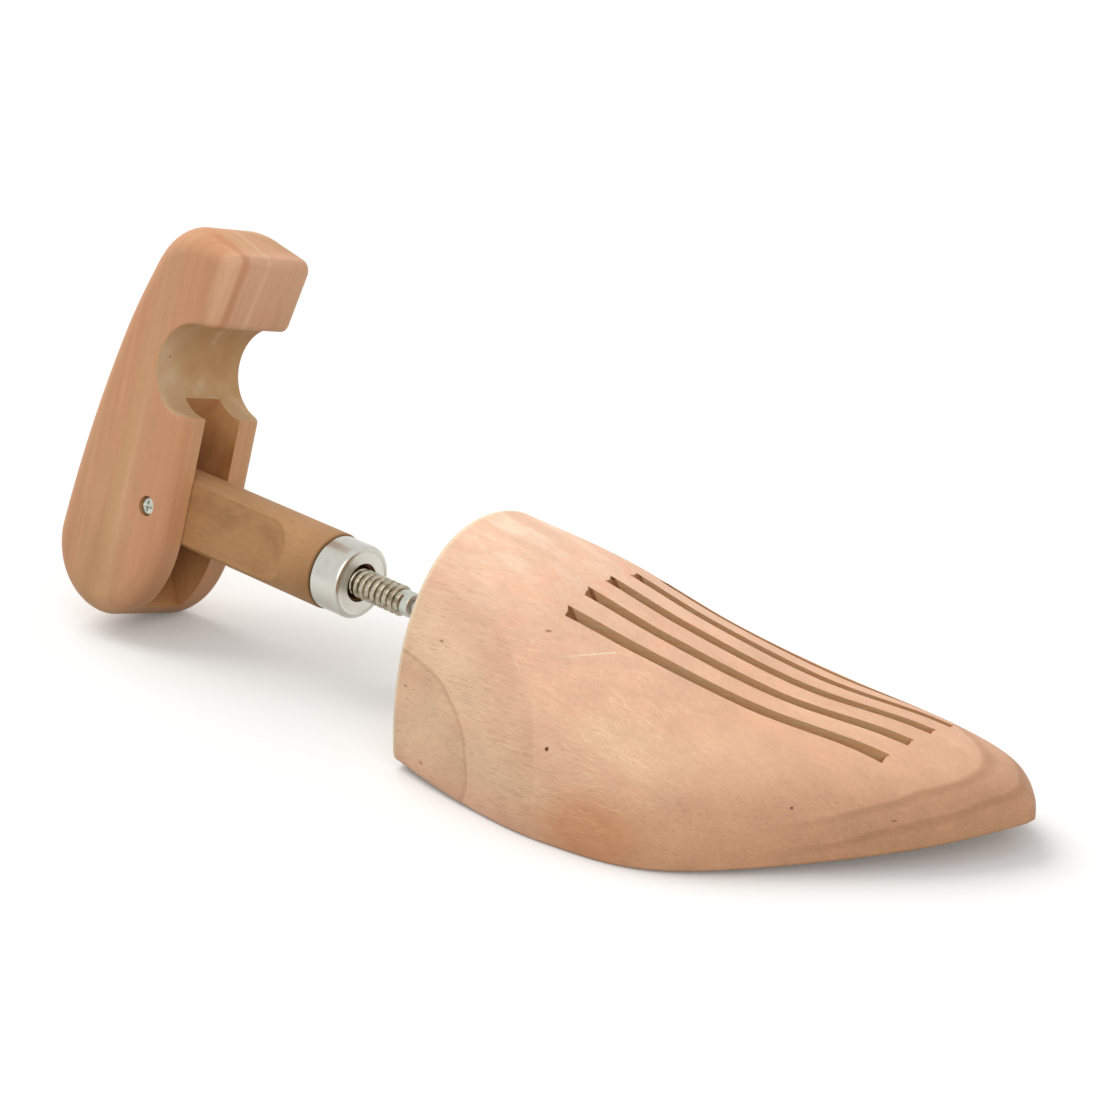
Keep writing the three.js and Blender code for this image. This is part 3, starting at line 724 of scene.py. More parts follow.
def shank_wood(sizes):
    """Brown-tan dowel with its grain along the shank: handling dirt, small pale and dark flecks, painted
    light that makes its top lighter, and a dark ring of painted shade where the ferrule sits."""
    recipe = Recipe("shank_beech", *ON_SHANK, Specular_IOR_Level=0.3)
    fine = recipe.noise((0.035, 1.0, 1.0), 4.0, 0.65)
    dirt = recipe.noise((0.07, 0.13, 0.13), 4.0, 0.6)
    pale = recipe.marks((0.4, 2.0, 2.0), 0.66, 0.78)
    pores = recipe.marks((0.28, 2.6, 2.6), 0.62, 0.74, (0, 3, 2))
    shoulder = (sizes.pivot_back - sizes.ferrule_long) / MM
    tint = recipe.paint(
        sizes.wood,
        (dirt.rise(0.46, 0.7) * 0.45, sizes.dark),
        # painted light: the top of the dowel, where it faces up, made lighter
        (recipe.facing(0.3, 0.9) * 0.35, (208, 164, 122)),
        (pale * 0.3, (214, 178, 136)),
        (pores * 0.35, sizes.dark),
        (recipe.along.rise(shoulder - 11.0, shoulder - 1.0) * 0.35, sizes.dark),
        # painted shade: a dark ring at the shoulder, in the crease where the wood meets the ferrule
        ((recipe.along + dirt * 0.5).rise(shoulder - 0.7, shoulder + 0.1) * 0.8, (92, 62, 34)))
    return recipe.finish(tint, fine * 0.22 + 0.89, fine * 0.2 + 0.48, fine - pores * 0.5, 0.28, 0.28)


def polished_cap(sizes):
    """Polished aluminium with fine turning lines, small dents, some tarnish and a satin face."""
    recipe = Recipe("polished_aluminium", *ON_SHANK, Metallic=1.0)
    lines = recipe.noise((6.0, 0.2, 0.2), 2.0, 0.6)
    dents = recipe.noise(0.55, 1.0).rise(0.58, 0.75)
    waves = recipe.noise(0.16, 1.0)
    tarnish = recipe.noise(0.3, 4.0, 0.65)
    radius = recipe.distance(recipe.side, recipe.up)
    face = sizes.pivot_back / MM
    satin = recipe.along.rise(face - 0.6, face - 0.4) * radius.rise(8.3, 8.1)
    tint = recipe.paint(
        sizes.metal, (tarnish.rise(0.4, 0.75) * 0.3, (180, 174, 162)), (satin * 0.7, (234, 236, 230)))
    rough = lines * 0.06 + tarnish * 0.1 + satin * 0.12 + 0.17
    return recipe.finish(tint, 1.0, rough, lines * 0.03 - dents * 0.12 + waves * 0.3, 0.3, 0.4)


def bright_wire(sizes):
    """Bright drawn spring wire, brown in places with old grease."""
    recipe = Recipe("spring_steel", *ON_SHANK, Metallic=1.0)
    grease = recipe.noise(0.6, 3.0, 0.6)
    tint = recipe.paint(sizes.steel, (grease.rise(0.42, 0.66) * 0.75, (128, 112, 86)))
    return recipe.finish(tint, 1.0, grease * 0.22 + 0.12, recipe.noise(2.5), 0.15, 0.15)


def dull_zinc(sizes):
    """Plated zinc, grey and slightly mottled, made when first asked for."""
    made = bpy.data.materials.get(ZINC)
    if made:
        return made
    recipe = Recipe(ZINC, *ON_SHANK, Metallic=1.0)
    mottle = recipe.noise(0.8, 3.0, 0.6)
    return recipe.finish(sizes.zinc, mottle * 0.36 + 0.74, mottle * 0.2 + 0.24, mottle, 0.15, 0.2)


# Forepart

# Stations from the rear face to the toe: shares of the length, of the half width and of the crown
STATIONS = np.array([
    (0, 0.693, 1), (0.2, 0.852, 0.897), (0.4, 0.984, 0.697), (0.6, 1, 0.533),
    (0.8, 0.664, 0.453), (0.92, 0.386, 0.37), (0.975, 0.173, 0.283), (1, 0.039, 0.212)])
FAR_SIDE_TRIM = 0.2
RIDGE_SET = 3.6 * MM
RIDGE_BEND = 23.2 * MM
CROWN_POWER = 2.17
SOLE_FLAT = (0.4, 0.5)
REAR_LIFT = 1.2 * MM
TOE_LIFT = 7.5 * MM
SOLE_EDGE = 0.8 * MM
REAR_EDGE = 2.4 * MM
TOE_ROUND = 0.35 * MM
VENT_SIDE = -6.2 * MM
VENT_ENDS = (36.4 * MM, 116.2 * MM)
VENT_END_SLOPE = math.radians(24)
VENT_TEAR = 0.25 * MM
TEAR_DEPTHS = (1 * MM, 7 * MM)
VENT_RAGGED = 0.16 * MM
VENT_WAVE = 0.12 * MM
STUD_HOLE = (-6.0 * MM, 30.3 * MM)
VENT_SHARP_ANGLE = math.radians(48)


def station_curve(sizes, shares):
    """Centripetal Catmull-Rom curve through the stations: columns are along, half width and crown height."""
    knots = STATIONS * (sizes.long, sizes.half, sizes.crown)
    knots = np.vstack([2 * knots[0] - knots[1], knots, 2 * knots[-1] - knots[-2]])
    gaps = np.sqrt(np.linalg.norm(np.diff(knots, axis=0), axis=1))
    spans = len(STATIONS) - 1
    span = np.minimum((shares * spans).astype(int), spans - 1)
    weight = (shares * spans - span)[:, None]
    first, second, third, fourth = (knots[span + step] for step in range(4))
    before, between, after = (gaps[span + step][:, None] for step in range(3))
    leave = (second - first) / before - (third - first) / (before + between) + (third - second) / between
    arrive = (third - second) / between - (fourth - second) / (between + after) + (fourth - third) / after
    leave, arrive = leave * between, arrive * between
    square = 3 * (third - second) - 2 * leave - arrive
    cube = 2 * (second - third) + leave + arrive
    return second + leave * weight + square * weight ** 2 + cube * weight ** 3


def forepart_rings(sizes, stations, crown_steps=130, sole_steps=26, edge_steps=7):
    """Closed rings across the forepart. Over the crown each is half a superellipse about the ridge, y = side
    times |cos a| to 2/p and z = rise times sin a to 2/p; small quarter rounds lead to the sole."""
    along, half, crown = stations.T[:, :, None]
    share = along / sizes.long
    ridge = RIDGE_SET * share + RIDGE_BEND * share ** 2
    rear = np.maximum(0, (SOLE_FLAT[0] - share) / SOLE_FLAT[0])
    toe = np.maximum(0, (share - SOLE_FLAT[1]) / (1 - SOLE_FLAT[1]))
    sole = REAR_LIFT * rear ** 2 + TOE_LIFT * toe ** 2
    far = half * (1 - FAR_SIDE_TRIM * np.sin(np.pi * share))
    edge = np.minimum(SOLE_EDGE + REAR_EDGE * rear ** 2, half / 3)
    turn = np.linspace(0, np.pi, crown_steps)[None, :]
    cosine = np.cos(turn)
    reach = np.abs(cosine) ** (2 / CROWN_POWER)
    over_y = ridge + np.where(cosine > 0, -half, far) * reach
    over_z = sole + edge + (crown - sole - edge) * np.abs(np.sin(turn)) ** (2 / CROWN_POWER)
    bend = quarter_turn(edge_steps + 1)[None, 1:]
    far_y = ridge + far - edge * (1 - np.cos(bend))
    edge_z = sole + edge * (1 - np.sin(bend))
    across = np.linspace(0, 1, sole_steps)[None, 1:-1]
    sole_y = (ridge + far - edge) * (1 - across) + (ridge - half + edge) * across
    near_y = (ridge - half + edge * (1 - np.cos(bend)))[:, ::-1]
    y = np.hstack([over_y, far_y, sole_y, near_y])
    z = np.hstack([over_z, edge_z, np.broadcast_to(sole, sole_y.shape), edge_z[:, ::-1]])
    x = np.broadcast_to(along, y.shape)
    return np.stack([x, y, z], axis=-1)


def forepart_surface(sizes, rows=230, rim_steps=7, face_steps=6, dome_steps=8):
    """The forepart's rings from the rear face to the toe. The rear rim is a quarter round, in by the rim
    times 1 - sin a and forwards by the rim times 1 - cos a; the toe is a small dome."""
    shares = np.linspace(0, 1, rows)
    rings = forepart_rings(sizes, station_curve(sizes, shares))
    rings = rings[rings[:, 0, 0] > sizes.rim]
    turn = quarter_turn(rim_steps)[:, None, None]
    edge = forepart_rings(sizes, station_curve(sizes, np.zeros(1)))
    ahead = np.roll(edge, -1, axis=1) - np.roll(edge, 1, axis=1)
    inward = unit(np.stack([np.zeros_like(ahead[..., 0]), ahead[..., 2], -ahead[..., 1]], axis=-1))
    middle = edge.mean(axis=1, keepdims=True)
    inward *= np.sign(np.sum(inward * (middle - edge)))
    grown = forepart_rings(sizes, station_curve(sizes, np.full(1, sizes.rim / sizes.long)))
    share = 1 - np.cos(turn)
    rim = edge * (1 - share) + grown * share + inward * sizes.rim * (1 - np.sin(turn))
    rim[..., 0] = sizes.rim * share[..., 0]
    shrink = np.linspace(0, 1, face_steps)[:-1, None, None]
    centre = rim[:1].mean(axis=1, keepdims=True)
    face = centre + (rim[:1] - centre) * shrink
    last = rings[-1:]
    end = last.mean(axis=1, keepdims=True)
    dome = quarter_turn(dome_steps)[1:, None, None]
    tip = end + (last - end) * np.cos(dome)
    tip[..., 0] = sizes.long + TOE_ROUND * np.sin(dome[..., 0])
    points = np.vstack([face, rim, rings, tip])
    return points, grid_faces(points.shape[0], points.shape[1])


def crown_at(sizes, along):
    """Height of the crown at a distance along the forepart."""
    stations = station_curve(sizes, np.linspace(0, 1, 2000))
    return np.interp(along, stations[:, 0], stations[:, 2])


def box_faces(shape):
    """Outer quads of a block of points, with the points numbered in order."""
    number = np.arange(np.prod(shape)).reshape(shape)
    sides = []
    for axis in range(3):
        for end in (0, -1):
            sheet = np.take(number, end, axis=axis)
            corners = [sheet[:-1, :-1], sheet[1:, :-1], sheet[1:, 1:], sheet[:-1, 1:]]
            sides.append(np.stack(corners, axis=-1).reshape(-1, 4))
    return np.vstack(sides)


def vent_cutter(sizes, index, steps=(70, 13, 14)):
    """One saw cut: a block that leans at both ends, its walls a little wavy. Each end is torn: its corners
    run on by the cube of the way to the side, most of all near the top."""
    along, across, down = np.meshgrid(*(np.linspace(0, 1, count) for count in steps), indexing="ij")
    lean = math.tan(VENT_END_SLOPE)
    rear, front = VENT_ENDS
    above = sizes.crown
    rear_top, front_top = crown_at(sizes, rear), crown_at(sizes, front)
    rear_line = rear - (above - rear_top) * lean + (above - rear_top + sizes.vent_depth) * lean * down
    front_line = front + (above - front_top) * lean - (above - front_top + sizes.vent_depth) * lean * down
    top = rear_top * (1 - along) + front_top * along
    z = above * (1 - down) + (top - sizes.vent_depth) * down
    shallow = 1 - smooth_step(top - z, *TEAR_DEPTHS)
    corners = np.abs(2 * across - 1) ** 3
    ragged = wobble(across * 6 + index, SEED + index) + 0.7 * wobble(down * 31 - across * 3, SEED + 9 + index)
    end = (along == 1).astype(float) - (along == 0)
    torn = (VENT_TEAR * corners * shallow + VENT_RAGGED * ragged) * end
    cosine, sine = math.cos(sizes.vent_turn), math.sin(sizes.vent_turn)
    x = (rear_line * (1 - along) + front_line * along) / cosine + torn
    y = (across - 0.5) * (sizes.vent_width + VENT_WAVE * wobble(along * 9, SEED + 40 + index))
    side = VENT_SIDE + (index - (sizes.vents - 1) / 2) * sizes.vent_pitch
    points = np.stack([x * cosine - y * sine, x * sine + y * cosine + side, z], axis=-1)
    return new_piece(f"vent_{index}", FOREPART_ORIGIN + points, box_faces(steps))


class MakeForepart(bpy.types.Operator):
    """Makes the forepart with its vent slots and the stud's hole."""

    bl_idname = "shoe_tree.forepart"
    bl_label = "Forepart"

    def execute(self, context):
        sizes = context.scene.shoe_tree_forepart
        spring = context.scene.shoe_tree_spring
        points, faces = forepart_surface(sizes)
        finish = [forepart_wood(sizes), vent_wood(sizes)]
        piece = new_piece("forepart_wood", FOREPART_ORIGIN + points, faces, finish)
        cutters = [vent_cutter(sizes, index) for index in range(sizes.vents)]
        drill, drill_faces = lathe(rod_profile(*STUD_HOLE, spring.rod + CLEARANCE), HOLE_SIDES)
        cutters.append(new_piece("stud_hole", on_shank(drill, REAR_FACE), drill_faces))
        carve(piece, cutters)
        shade(piece, VENT_SHARP_ANGLE)
        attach(piece, "forepart")
        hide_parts("forepart")
        return {"FINISHED"}


# Heel block and screw

FOOT_BACK = 12.0 * MM
FRONT = 6.5 * MM
FRONT_START = -8.0 * MM
LIP_FRONT = 5.3 * MM
BACK = 31.2 * MM
BACK_START = -14.0 * MM
BACK_BULGE = 4.5 * MM
NECK_BACK = 18.5 * MM
NECK_DROP = 11.3 * MM
HOOK_FRONT = 11.7 * MM
HOOK_UNDERCUT = 4.5 * MM
HOOK_DROP = 2.7 * MM
FINGER_AHEAD = 5.0 * MM
FINGER_DROP = 35.0 * MM
FINGER_EASE = 0.5 * MM
CAP_BORDER = 0.4 * MM
SLOT_CUTTER = 45.5 * MM
SLOT_END_GAP = 2.1 * MM
SLOT_CUTTER_UP = 1.4 * MM
CURVE_HANDLE = 0.55
SHOULDER_HANDLES = (0.82, 0.42)
TOP_RISE = 0.5 * MM
TOP_FALL = 1.8 * MM
TOP_ZONE = (50 * MM, 72 * MM)
EDGE_ZONE = (42 * MM, 66 * MM)
EDGE_GAINS = (0.2, 0.4)
HOOK_ZONE = (-12 * MM, HOOK_FRONT)
FOOT_ZONE = (-8 * MM, 8 * MM)
FRONT_ZONE = (-10 * MM, 6 * MM)
HOOK_ROUND = 2.4 * MM
UNDER_ROUND = 2.3 * MM
LIP_ROUND = 0.7 * MM
ROUND_GROWTH = 0.3
ROUND_STEPS = 8
RIM_ROWS = 3
SCREW_SUNK = 0.6 * MM
SCREW_RADIUS = 1.75 * MM
SCREW_DEPTHS = np.array([0.5, 1.6, 1.6, 24.6, 24.6]) * MM
SCREW_HOLE = (-2.0 * MM, 2.5 * MM, 25.5 * MM)
HEAD_DOME = 0.35 * MM
RECESS_HALF = 0.33 * MM
RECESS_REACH = 1.5 * MM
RECESS_DEPTH = 0.8 * MM
RECESS_EDGE = (0.7, 1.15)


def bezier(start, leave, arrive, end, steps=26):
    """Points on a cubic curve after its start: the sum of four points with weights (1-t)^3 and so on."""
    t = np.linspace(0, 1, steps + 1)[1:, None]
    return (1 - t) ** 3 * start + 3 * (1 - t) ** 2 * t * leave + 3 * (1 - t) * t ** 2 * arrive + t ** 3 * end


def rounded_corner(start, corner, end, handles=(CURVE_HANDLE, CURVE_HANDLE)):
    """A curve from start to end whose handles reach part of the way to the corner."""
    leave = start + (corner - start) * handles[0]
    arrive = end + (corner - end) * handles[1]
    return bezier(start, leave, arrive, end)


def crossing(first, second, third, fourth):
    """The point where the line first to second meets the line third to fourth."""
    one, two = second - first, fourth - third
    gap = third - second
    return second + one * (gap[0] * two[1] - gap[1] * two[0]) / (one[0] * two[1] - one[1] * two[0])


def heel_outline(sizes):
    """The block's side view about the pivot: round foot, bulged back, neck, hook and straight front."""
    top_height = sizes.height - sizes.foot
    finger_up = top_height - FINGER_DROP
    front = np.array([FRONT, FRONT_START])
    foot = np.array([-FOOT_BACK, -sizes.foot])
    back = np.array([-BACK, BACK_START])
    neck = np.array([-NECK_BACK, top_height - NECK_DROP])
    top = np.array([0, top_height])
    hook = np.array([HOOK_FRONT, top_height - HOOK_DROP])
    bulge = (back + neck) / 2 - (BACK_BULGE, 0)
    under = np.array([HOOK_FRONT - HOOK_UNDERCUT, finger_up + sizes.finger / 2])
    lip = np.array([LIP_FRONT, finger_up - sizes.finger / 2])
    return np.vstack([
        front[None],
        rounded_corner(front, np.array([front[0], foot[1]]), foot),
        rounded_corner(foot, np.array([back[0], foot[1]]), back),
        bezier(back, back + (bulge - back) * 2 / 3, neck + (bulge - neck) * 2 / 3, neck),
        rounded_corner(neck, crossing(bulge, neck, hook, top), top, SHOULDER_HANDLES),
        hook[None], under[None], lip[None]])


def inset(outline, depth):
    """The outline moved inwards by depth, its corners mitred."""
    before = unit(outline - np.roll(outline, 1, axis=0))
    after = unit(np.roll(outline, -1, axis=0) - outline)
    normals = np.stack([before[:, 1] + after[:, 1], -before[:, 0] - after[:, 0]], axis=-1)
    size = 1 + np.sum(before * after, axis=1, keepdims=True)
    return outline + depth * normals / size


def arc_between(centre, start, end, steps):
    """Points on a circle about the centre, the short way round from start to end."""
    first = bearing(centre, start)
    turn = (bearing(centre, end) - first + np.pi) % (2 * np.pi) - np.pi
    return on_circle(centre, np.linalg.norm(start - centre), first + turn * np.linspace(0, 1, steps))


def round_corner(before, corner, after, radius, steps=9):
    """A corner between two straight lines, rounded to a radius."""
    back, ahead = unit(before - corner), unit(after - corner)
    half = np.arccos(back @ ahead) / 2
    reach = radius / np.tan(half)
    centre = corner + unit(back + ahead) * radius / np.sin(half)
    return arc_between(centre, corner + back * reach, corner + ahead * reach, steps)


def round_to_bore(start, end, centre, bore, radius, side=1):
    """The corner where a straight front meets a bore, rounded to a radius: from the front to the bore's wall.
    The round's middle is a radius inside the front, which is to the right of its run for side 1, and as far
    outside the bore."""
    ahead = unit(end - start)
    inside = side * np.array([ahead[1], -ahead[0]])
    gap = start + inside * radius - centre
    along = gap @ ahead
    root = math.sqrt(along ** 2 - gap @ gap + (bore + radius) ** 2)
    middle = centre + gap + ahead * (-along - root)
    wall = centre + (middle - centre) * bore / (bore + radius)
    return arc_between(middle, middle - inside * radius, wall, ROUND_STEPS)


def heel_edges(sizes, outline):
    """How far the edges' rounding reaches in and across at each point of the side view: least at the front
    and most towards the top."""
    x, up = outline.T
    upper = smooth_step(up, *EDGE_ZONE)
    low = 1 - smooth_step(up, *FOOT_ZONE)
    front = smooth_step(x, *HOOK_ZONE) * upper + smooth_step(x, *FRONT_ZONE) * low
    return [sizes.edge * (1 + gain * upper) * (1 - front) + sizes.front_edge * front for gain in EDGE_GAINS]


def heel_ring(sizes, share, border=0.0, bore_steps=56):
    """The block's side view moved inwards by a share of its edges' rounding, with the finger cut in it. Gives
    the ring, from the front's lower end round the foot, back and hook, how far its rounding reaches across,
    and how many of its last points are on the cut."""
    outline = heel_outline(sizes)
    inwards, across = heel_edges(sizes, outline)
    depth = sizes.front_edge * share
    growth = ROUND_GROWTH * depth
    body = inset(outline, inwards[:, None] * share + border)
    face = inset(outline, depth + border)
    top, hook = body[-4:-2]
    centre = np.array([FINGER_AHEAD, sizes.height - sizes.foot - FINGER_DROP])
    bore = sizes.finger + FINGER_EASE * share ** 5 + border
    hook_end = round_to_bore(hook, face[-2], centre, bore, UNDER_ROUND + growth)
    lip_end = round_to_bore(body[0], face[-1], centre, bore, LIP_ROUND + growth, -1)[::-1]
    hook_top = round_corner(top, hook, hook_end[0], HOOK_ROUND + growth)
    ease = np.linspace(0, 1, 12)[1:-1]
    over = top + (hook_top[0] - top) * ease[:, None]
    first, last = bearing(centre, hook_end[-1]), bearing(centre, lip_end[0]) % (2 * np.pi)
    wall = on_circle(centre, bore, np.linspace(first, last, bore_steps)[1:-1])
    ring = np.vstack([body[:-3], over, hook_top, hook_end, wall, lip_end])
    eased = across[-4] + (sizes.front_edge - across[-4]) * smooth_step(ease, 0, 1)
    rest = np.full(len(ring) - len(body) + 3 - len(over), sizes.front_edge)
    return ring, np.concatenate([across[:-3], eased, rest]), len(wall) + len(lip_end)


def heel_surface(sizes, steps=11):
    """The side view carried across the block: each edge is a quarter round, in by its reach times 1 - cos a
    and across by its reach times 1 - sin a. Near the top the middle is raised and the sides are lowered by
    the square of the way to the side."""
    half = []
    for turn in quarter_turn(steps):
        ring, across, cut = heel_ring(sizes, 1 - math.cos(turn))
        out = sizes.thick / 2 - across * (1 - math.sin(turn))
        half.append(np.column_stack([ring[:, 0], out, ring[:, 1]]))
    ring, across, cut = heel_ring(sizes, 1, CAP_BORDER)
    half.append(np.column_stack([ring[:, 0], np.full(len(ring), sizes.thick / 2), ring[:, 1]]))
    rows = np.array(half)
    rows = np.concatenate([rows[::-1] * (1, -1, 1), rows])
    aside = 2 * rows[..., 1] / sizes.thick
    rows[..., 2] += (TOP_RISE - TOP_FALL * aside ** 2) * smooth_step(rows[..., 2], *TOP_ZONE)
    count = rows.shape[1]
    faces = grid_faces(len(rows), count)
    row, column = np.divmod(faces[:, 0], count)
    inside = (row >= RIM_ROWS) & (row < len(rows) - 1 - RIM_ROWS)
    bored = inside & (column >= count - cut) & (column < count - ROUND_STEPS)
    last = (len(rows) - 1) * count
    faces = faces.tolist() + [list(range(count)), list(range(last, last + count))]
    return rows, faces, bored.astype(int).tolist() + [0, 0]


def across_cutter(name, radius, width, along, up, sides):
    """A cylinder along the pivot's direction."""
    points, faces = lathe(rod_profile(-width / 2, width / 2, radius), sides)
    points = np.stack([points[..., 1] + along, points[..., 0], points[..., 2] + up], axis=-1)
    return new_piece(name, on_shank(points), faces)


def screw_surface(sizes, rings=26, sides=96):
    """The screw: a domed head with a cross recess sunk in it, then its shaft, in rings from the middle."""
    radius = sizes.screw_head
    share = np.linspace(0, 1, rings)[:, None]
    turn = full_turn(sides)[None, :]
    x, z = share * radius * np.cos(turn), share * radius * np.sin(turn)
    level = np.maximum(np.abs(x) / RECESS_REACH, np.abs(z) / RECESS_HALF)
    upright = np.maximum(np.abs(z) / RECESS_REACH, np.abs(x) / RECESS_HALF)
    sink = RECESS_DEPTH * (1 - smooth_step(np.minimum(level, upright), *RECESS_EDGE)) * (1 - 0.5 * share)
    head = np.stack([x, sink + HEAD_DOME * share ** 4, z], axis=-1)
    widths = np.array([radius, radius, SCREW_RADIUS, SCREW_RADIUS, 0])[:, None]
    depths = np.broadcast_to(SCREW_DEPTHS[:, None], (len(widths), sides))
    shaft = np.stack([widths * np.cos(turn), depths, widths * np.sin(turn)], axis=-1)
    points = np.vstack([head, shaft])
    points[..., 1] += SCREW_SUNK - sizes.thick / 2
    return on_shank(points), grid_faces(len(points), sides)


class MakeHeel(bpy.types.Operator):
    """Makes the heel block with its finger cut and slot, and the pivot screw."""

    bl_idname = "shoe_tree.heel"
    bl_label = "Heel block and screw"

    def execute(self, context):
        sizes = context.scene.shoe_tree_heel
        shank = context.scene.shoe_tree_shank
        points, faces, finishes = heel_surface(sizes)
        finish = [heel_wood(sizes), bored_wood(sizes), slot_wood()]
        block = new_piece("heel_block_wood", on_shank(points), faces, finish, finishes)
        slot_along = SLOT_CUTTER - shank.dowel - SLOT_END_GAP
        head = sizes.screw_head + CLEARANCE
        thread = SCREW_RADIUS + CLEARANCE
        start, seat, end = (depth - sizes.thick / 2 for depth in SCREW_HOLE)
        bore, bore_faces = lathe(
            [(start, 0), (start, head), (seat, head), (seat, thread), (end, thread), (end, 0)], HEAD_SIDES)
        bore = np.stack([bore[..., 1], bore[..., 0], bore[..., 2]], axis=-1)
        carve(block, [
            across_cutter("shank_slot", SLOT_CUTTER, sizes.slot, slot_along, SLOT_CUTTER_UP, SLOT_SIDES),
            new_piece("screw_hole", on_shank(bore), bore_faces)], 2)
        shade(block)
        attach(block, "heel")
        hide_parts("heel_block")
        zinc = dull_zinc(context.scene.shoe_tree_spring)
        screw = smooth_piece("pivot_screw_zinc", *screw_surface(sizes), zinc)
        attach(screw, "heel")
        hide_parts("pivot_screw")
        return {"FINISHED"}


# Shank and ferrule

TONGUE_CUTTER = 13.0 * MM
FLATS_RUN = 11.0 * MM
SHOULDER_CHAMFER = 0.9 * MM
FERRULE_WALL = 0.9 * MM
FERRULE_EDGE = 1.3 * MM
FERRULE_HOLE = 5.0 * MM
FACE_SUNK = 0.1 * MM
FACE_LIP = 0.03 * MM
LIP_OUT = 0.1 * MM
LIP_IN = 0.05 * MM
MOUTH_ROUND = 0.25 * MM
HOLE_ROUND = 0.2 * MM
WALL_START = 0.6 * MM
BORE = 4.5 * MM
BORE_DEPTH = 35.0 * MM


def shank_surface(sizes, sides=144):
    """A turned dowel with a bored nose. Behind the flats' start y is held within the tongue's thickness, and
    at the tail z is held within a half circle about the pivot."""
    face = sizes.pivot_back
    shoulder = face - sizes.ferrule_long - CLEARANCE
    tenon = sizes.ferrule - FERRULE_WALL - CLEARANCE
    nose = face - FERRULE_WALL - CLEARANCE
    tail = -sizes.dowel * np.cos(quarter_turn(24))
    flats = face - sizes.flat_start
    run_out = flats + FLATS_RUN
    stem = np.concatenate([
        tail, np.linspace(0, flats, 20)[1:], np.linspace(flats, run_out, 40)[1:],
        np.linspace(run_out, shoulder - SHOULDER_CHAMFER, 6)[1:]])
    profile = np.column_stack([stem, np.full(len(stem), sizes.dowel)])
    profile = np.vstack([
        [(tail[0], 0)], profile,
        arc(shoulder - SHOULDER_CHAMFER, sizes.dowel - SHOULDER_CHAMFER, SHOULDER_CHAMFER, 90, 0, 7)[1:],
        [(shoulder, tenon), (nose, tenon), (nose, BORE), (face - BORE_DEPTH, BORE), (face - BORE_DEPTH, 0)]])
    points, faces = lathe(profile, sides)
    x, y, z = (points[..., part] for part in range(3))
    outer = np.arange(len(profile))[:, None] <= len(stem)
    run = np.clip(x - flats, 0, TONGUE_CUTTER)
    limit = sizes.tongue / 2 + TONGUE_CUTTER - np.sqrt(TONGUE_CUTTER ** 2 - run ** 2)
    y = np.where(outer, np.clip(y, -limit, limit), y)
    height = np.sqrt(np.maximum(sizes.dowel ** 2 - np.minimum(x, 0) ** 2, 0))
    z = np.where(outer, np.clip(z, -height, height), z)
    return np.stack([x, y, z], axis=-1), faces


def ferrule_surface(sizes):
    """The cap's closed profile turned round the axis: outer wall, round rim, sunk face, hole, inner wall."""
    face = sizes.pivot_back
    outside = sizes.ferrule
    inside = outside - FERRULE_WALL
    rear = face - sizes.ferrule_long
    mouth = rear + MOUTH_ROUND
    sunk = face - FACE_SUNK
    lip = outside - FERRULE_EDGE - MOUTH_ROUND
    hole = FERRULE_HOLE + HOLE_ROUND
    profile = np.vstack([
        [(mouth, inside)],
        arc(mouth, outside - MOUTH_ROUND, MOUTH_ROUND, 180, 90, 5),
        np.column_stack([np.linspace(rear + WALL_START, face - FERRULE_EDGE, 12), np.full(12, outside)]),
        arc(face - FERRULE_EDGE, outside - FERRULE_EDGE, FERRULE_EDGE, 90, 0, 12)[1:],
        [(face - FACE_LIP, lip + LIP_OUT)],
        np.column_stack([np.full(8, sunk), np.linspace(lip - LIP_IN, hole, 8)]),
        arc(sunk - HOLE_ROUND, hole, HOLE_ROUND, 0, -90, 5)[1:],
        [(face - FERRULE_WALL, FERRULE_HOLE), (face - FERRULE_WALL, inside), (mouth, inside)]])
    return lathe(profile, CAP_SIDES)


class MakeShank(bpy.types.Operator):
    """Makes the shank with its tongue, and the ferrule on its nose."""

    bl_idname = "shoe_tree.shank"
    bl_label = "Shank and ferrule"

    def execute(self, context):
        sizes = context.scene.shoe_tree_shank
        points, faces = shank_surface(sizes)
        wood = shank_wood(sizes)
        shank = new_piece("shank_wood", on_shank(points), faces, [wood, wood])
        hole = across_cutter("pivot_hole", SCREW_RADIUS + CLEARANCE, 3 * sizes.dowel, 0, 0, HOLE_SIDES)
        carve(shank, [hole])
        shade(shank)
        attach(shank, "shank")
        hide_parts("shank")
        points, faces = ferrule_surface(sizes)
        ferrule = smooth_piece("ferrule_cap", on_shank(points), faces, polished_cap(sizes))
        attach(ferrule, "shank")
        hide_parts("ferrule")
        return {"FINISHED"}


# Coil spring, stud and plug

COIL_SPLIT = -4.0 * MM
WIRE_END = math.radians(137)
COLLAR_LENGTH = 2.4 * MM
COLLAR_ROUND = 0.8 * MM
SPIGOT = 1.85 * MM
SPIGOT_LENGTH = 4.5 * MM
ROD_DEPTH = 30.0 * MM
ROD_POINT = 3.0 * MM
WIRE_GAP = 0.72 * MM
STUD_ROUND = 0.3 * MM
END_FACE = 0.75


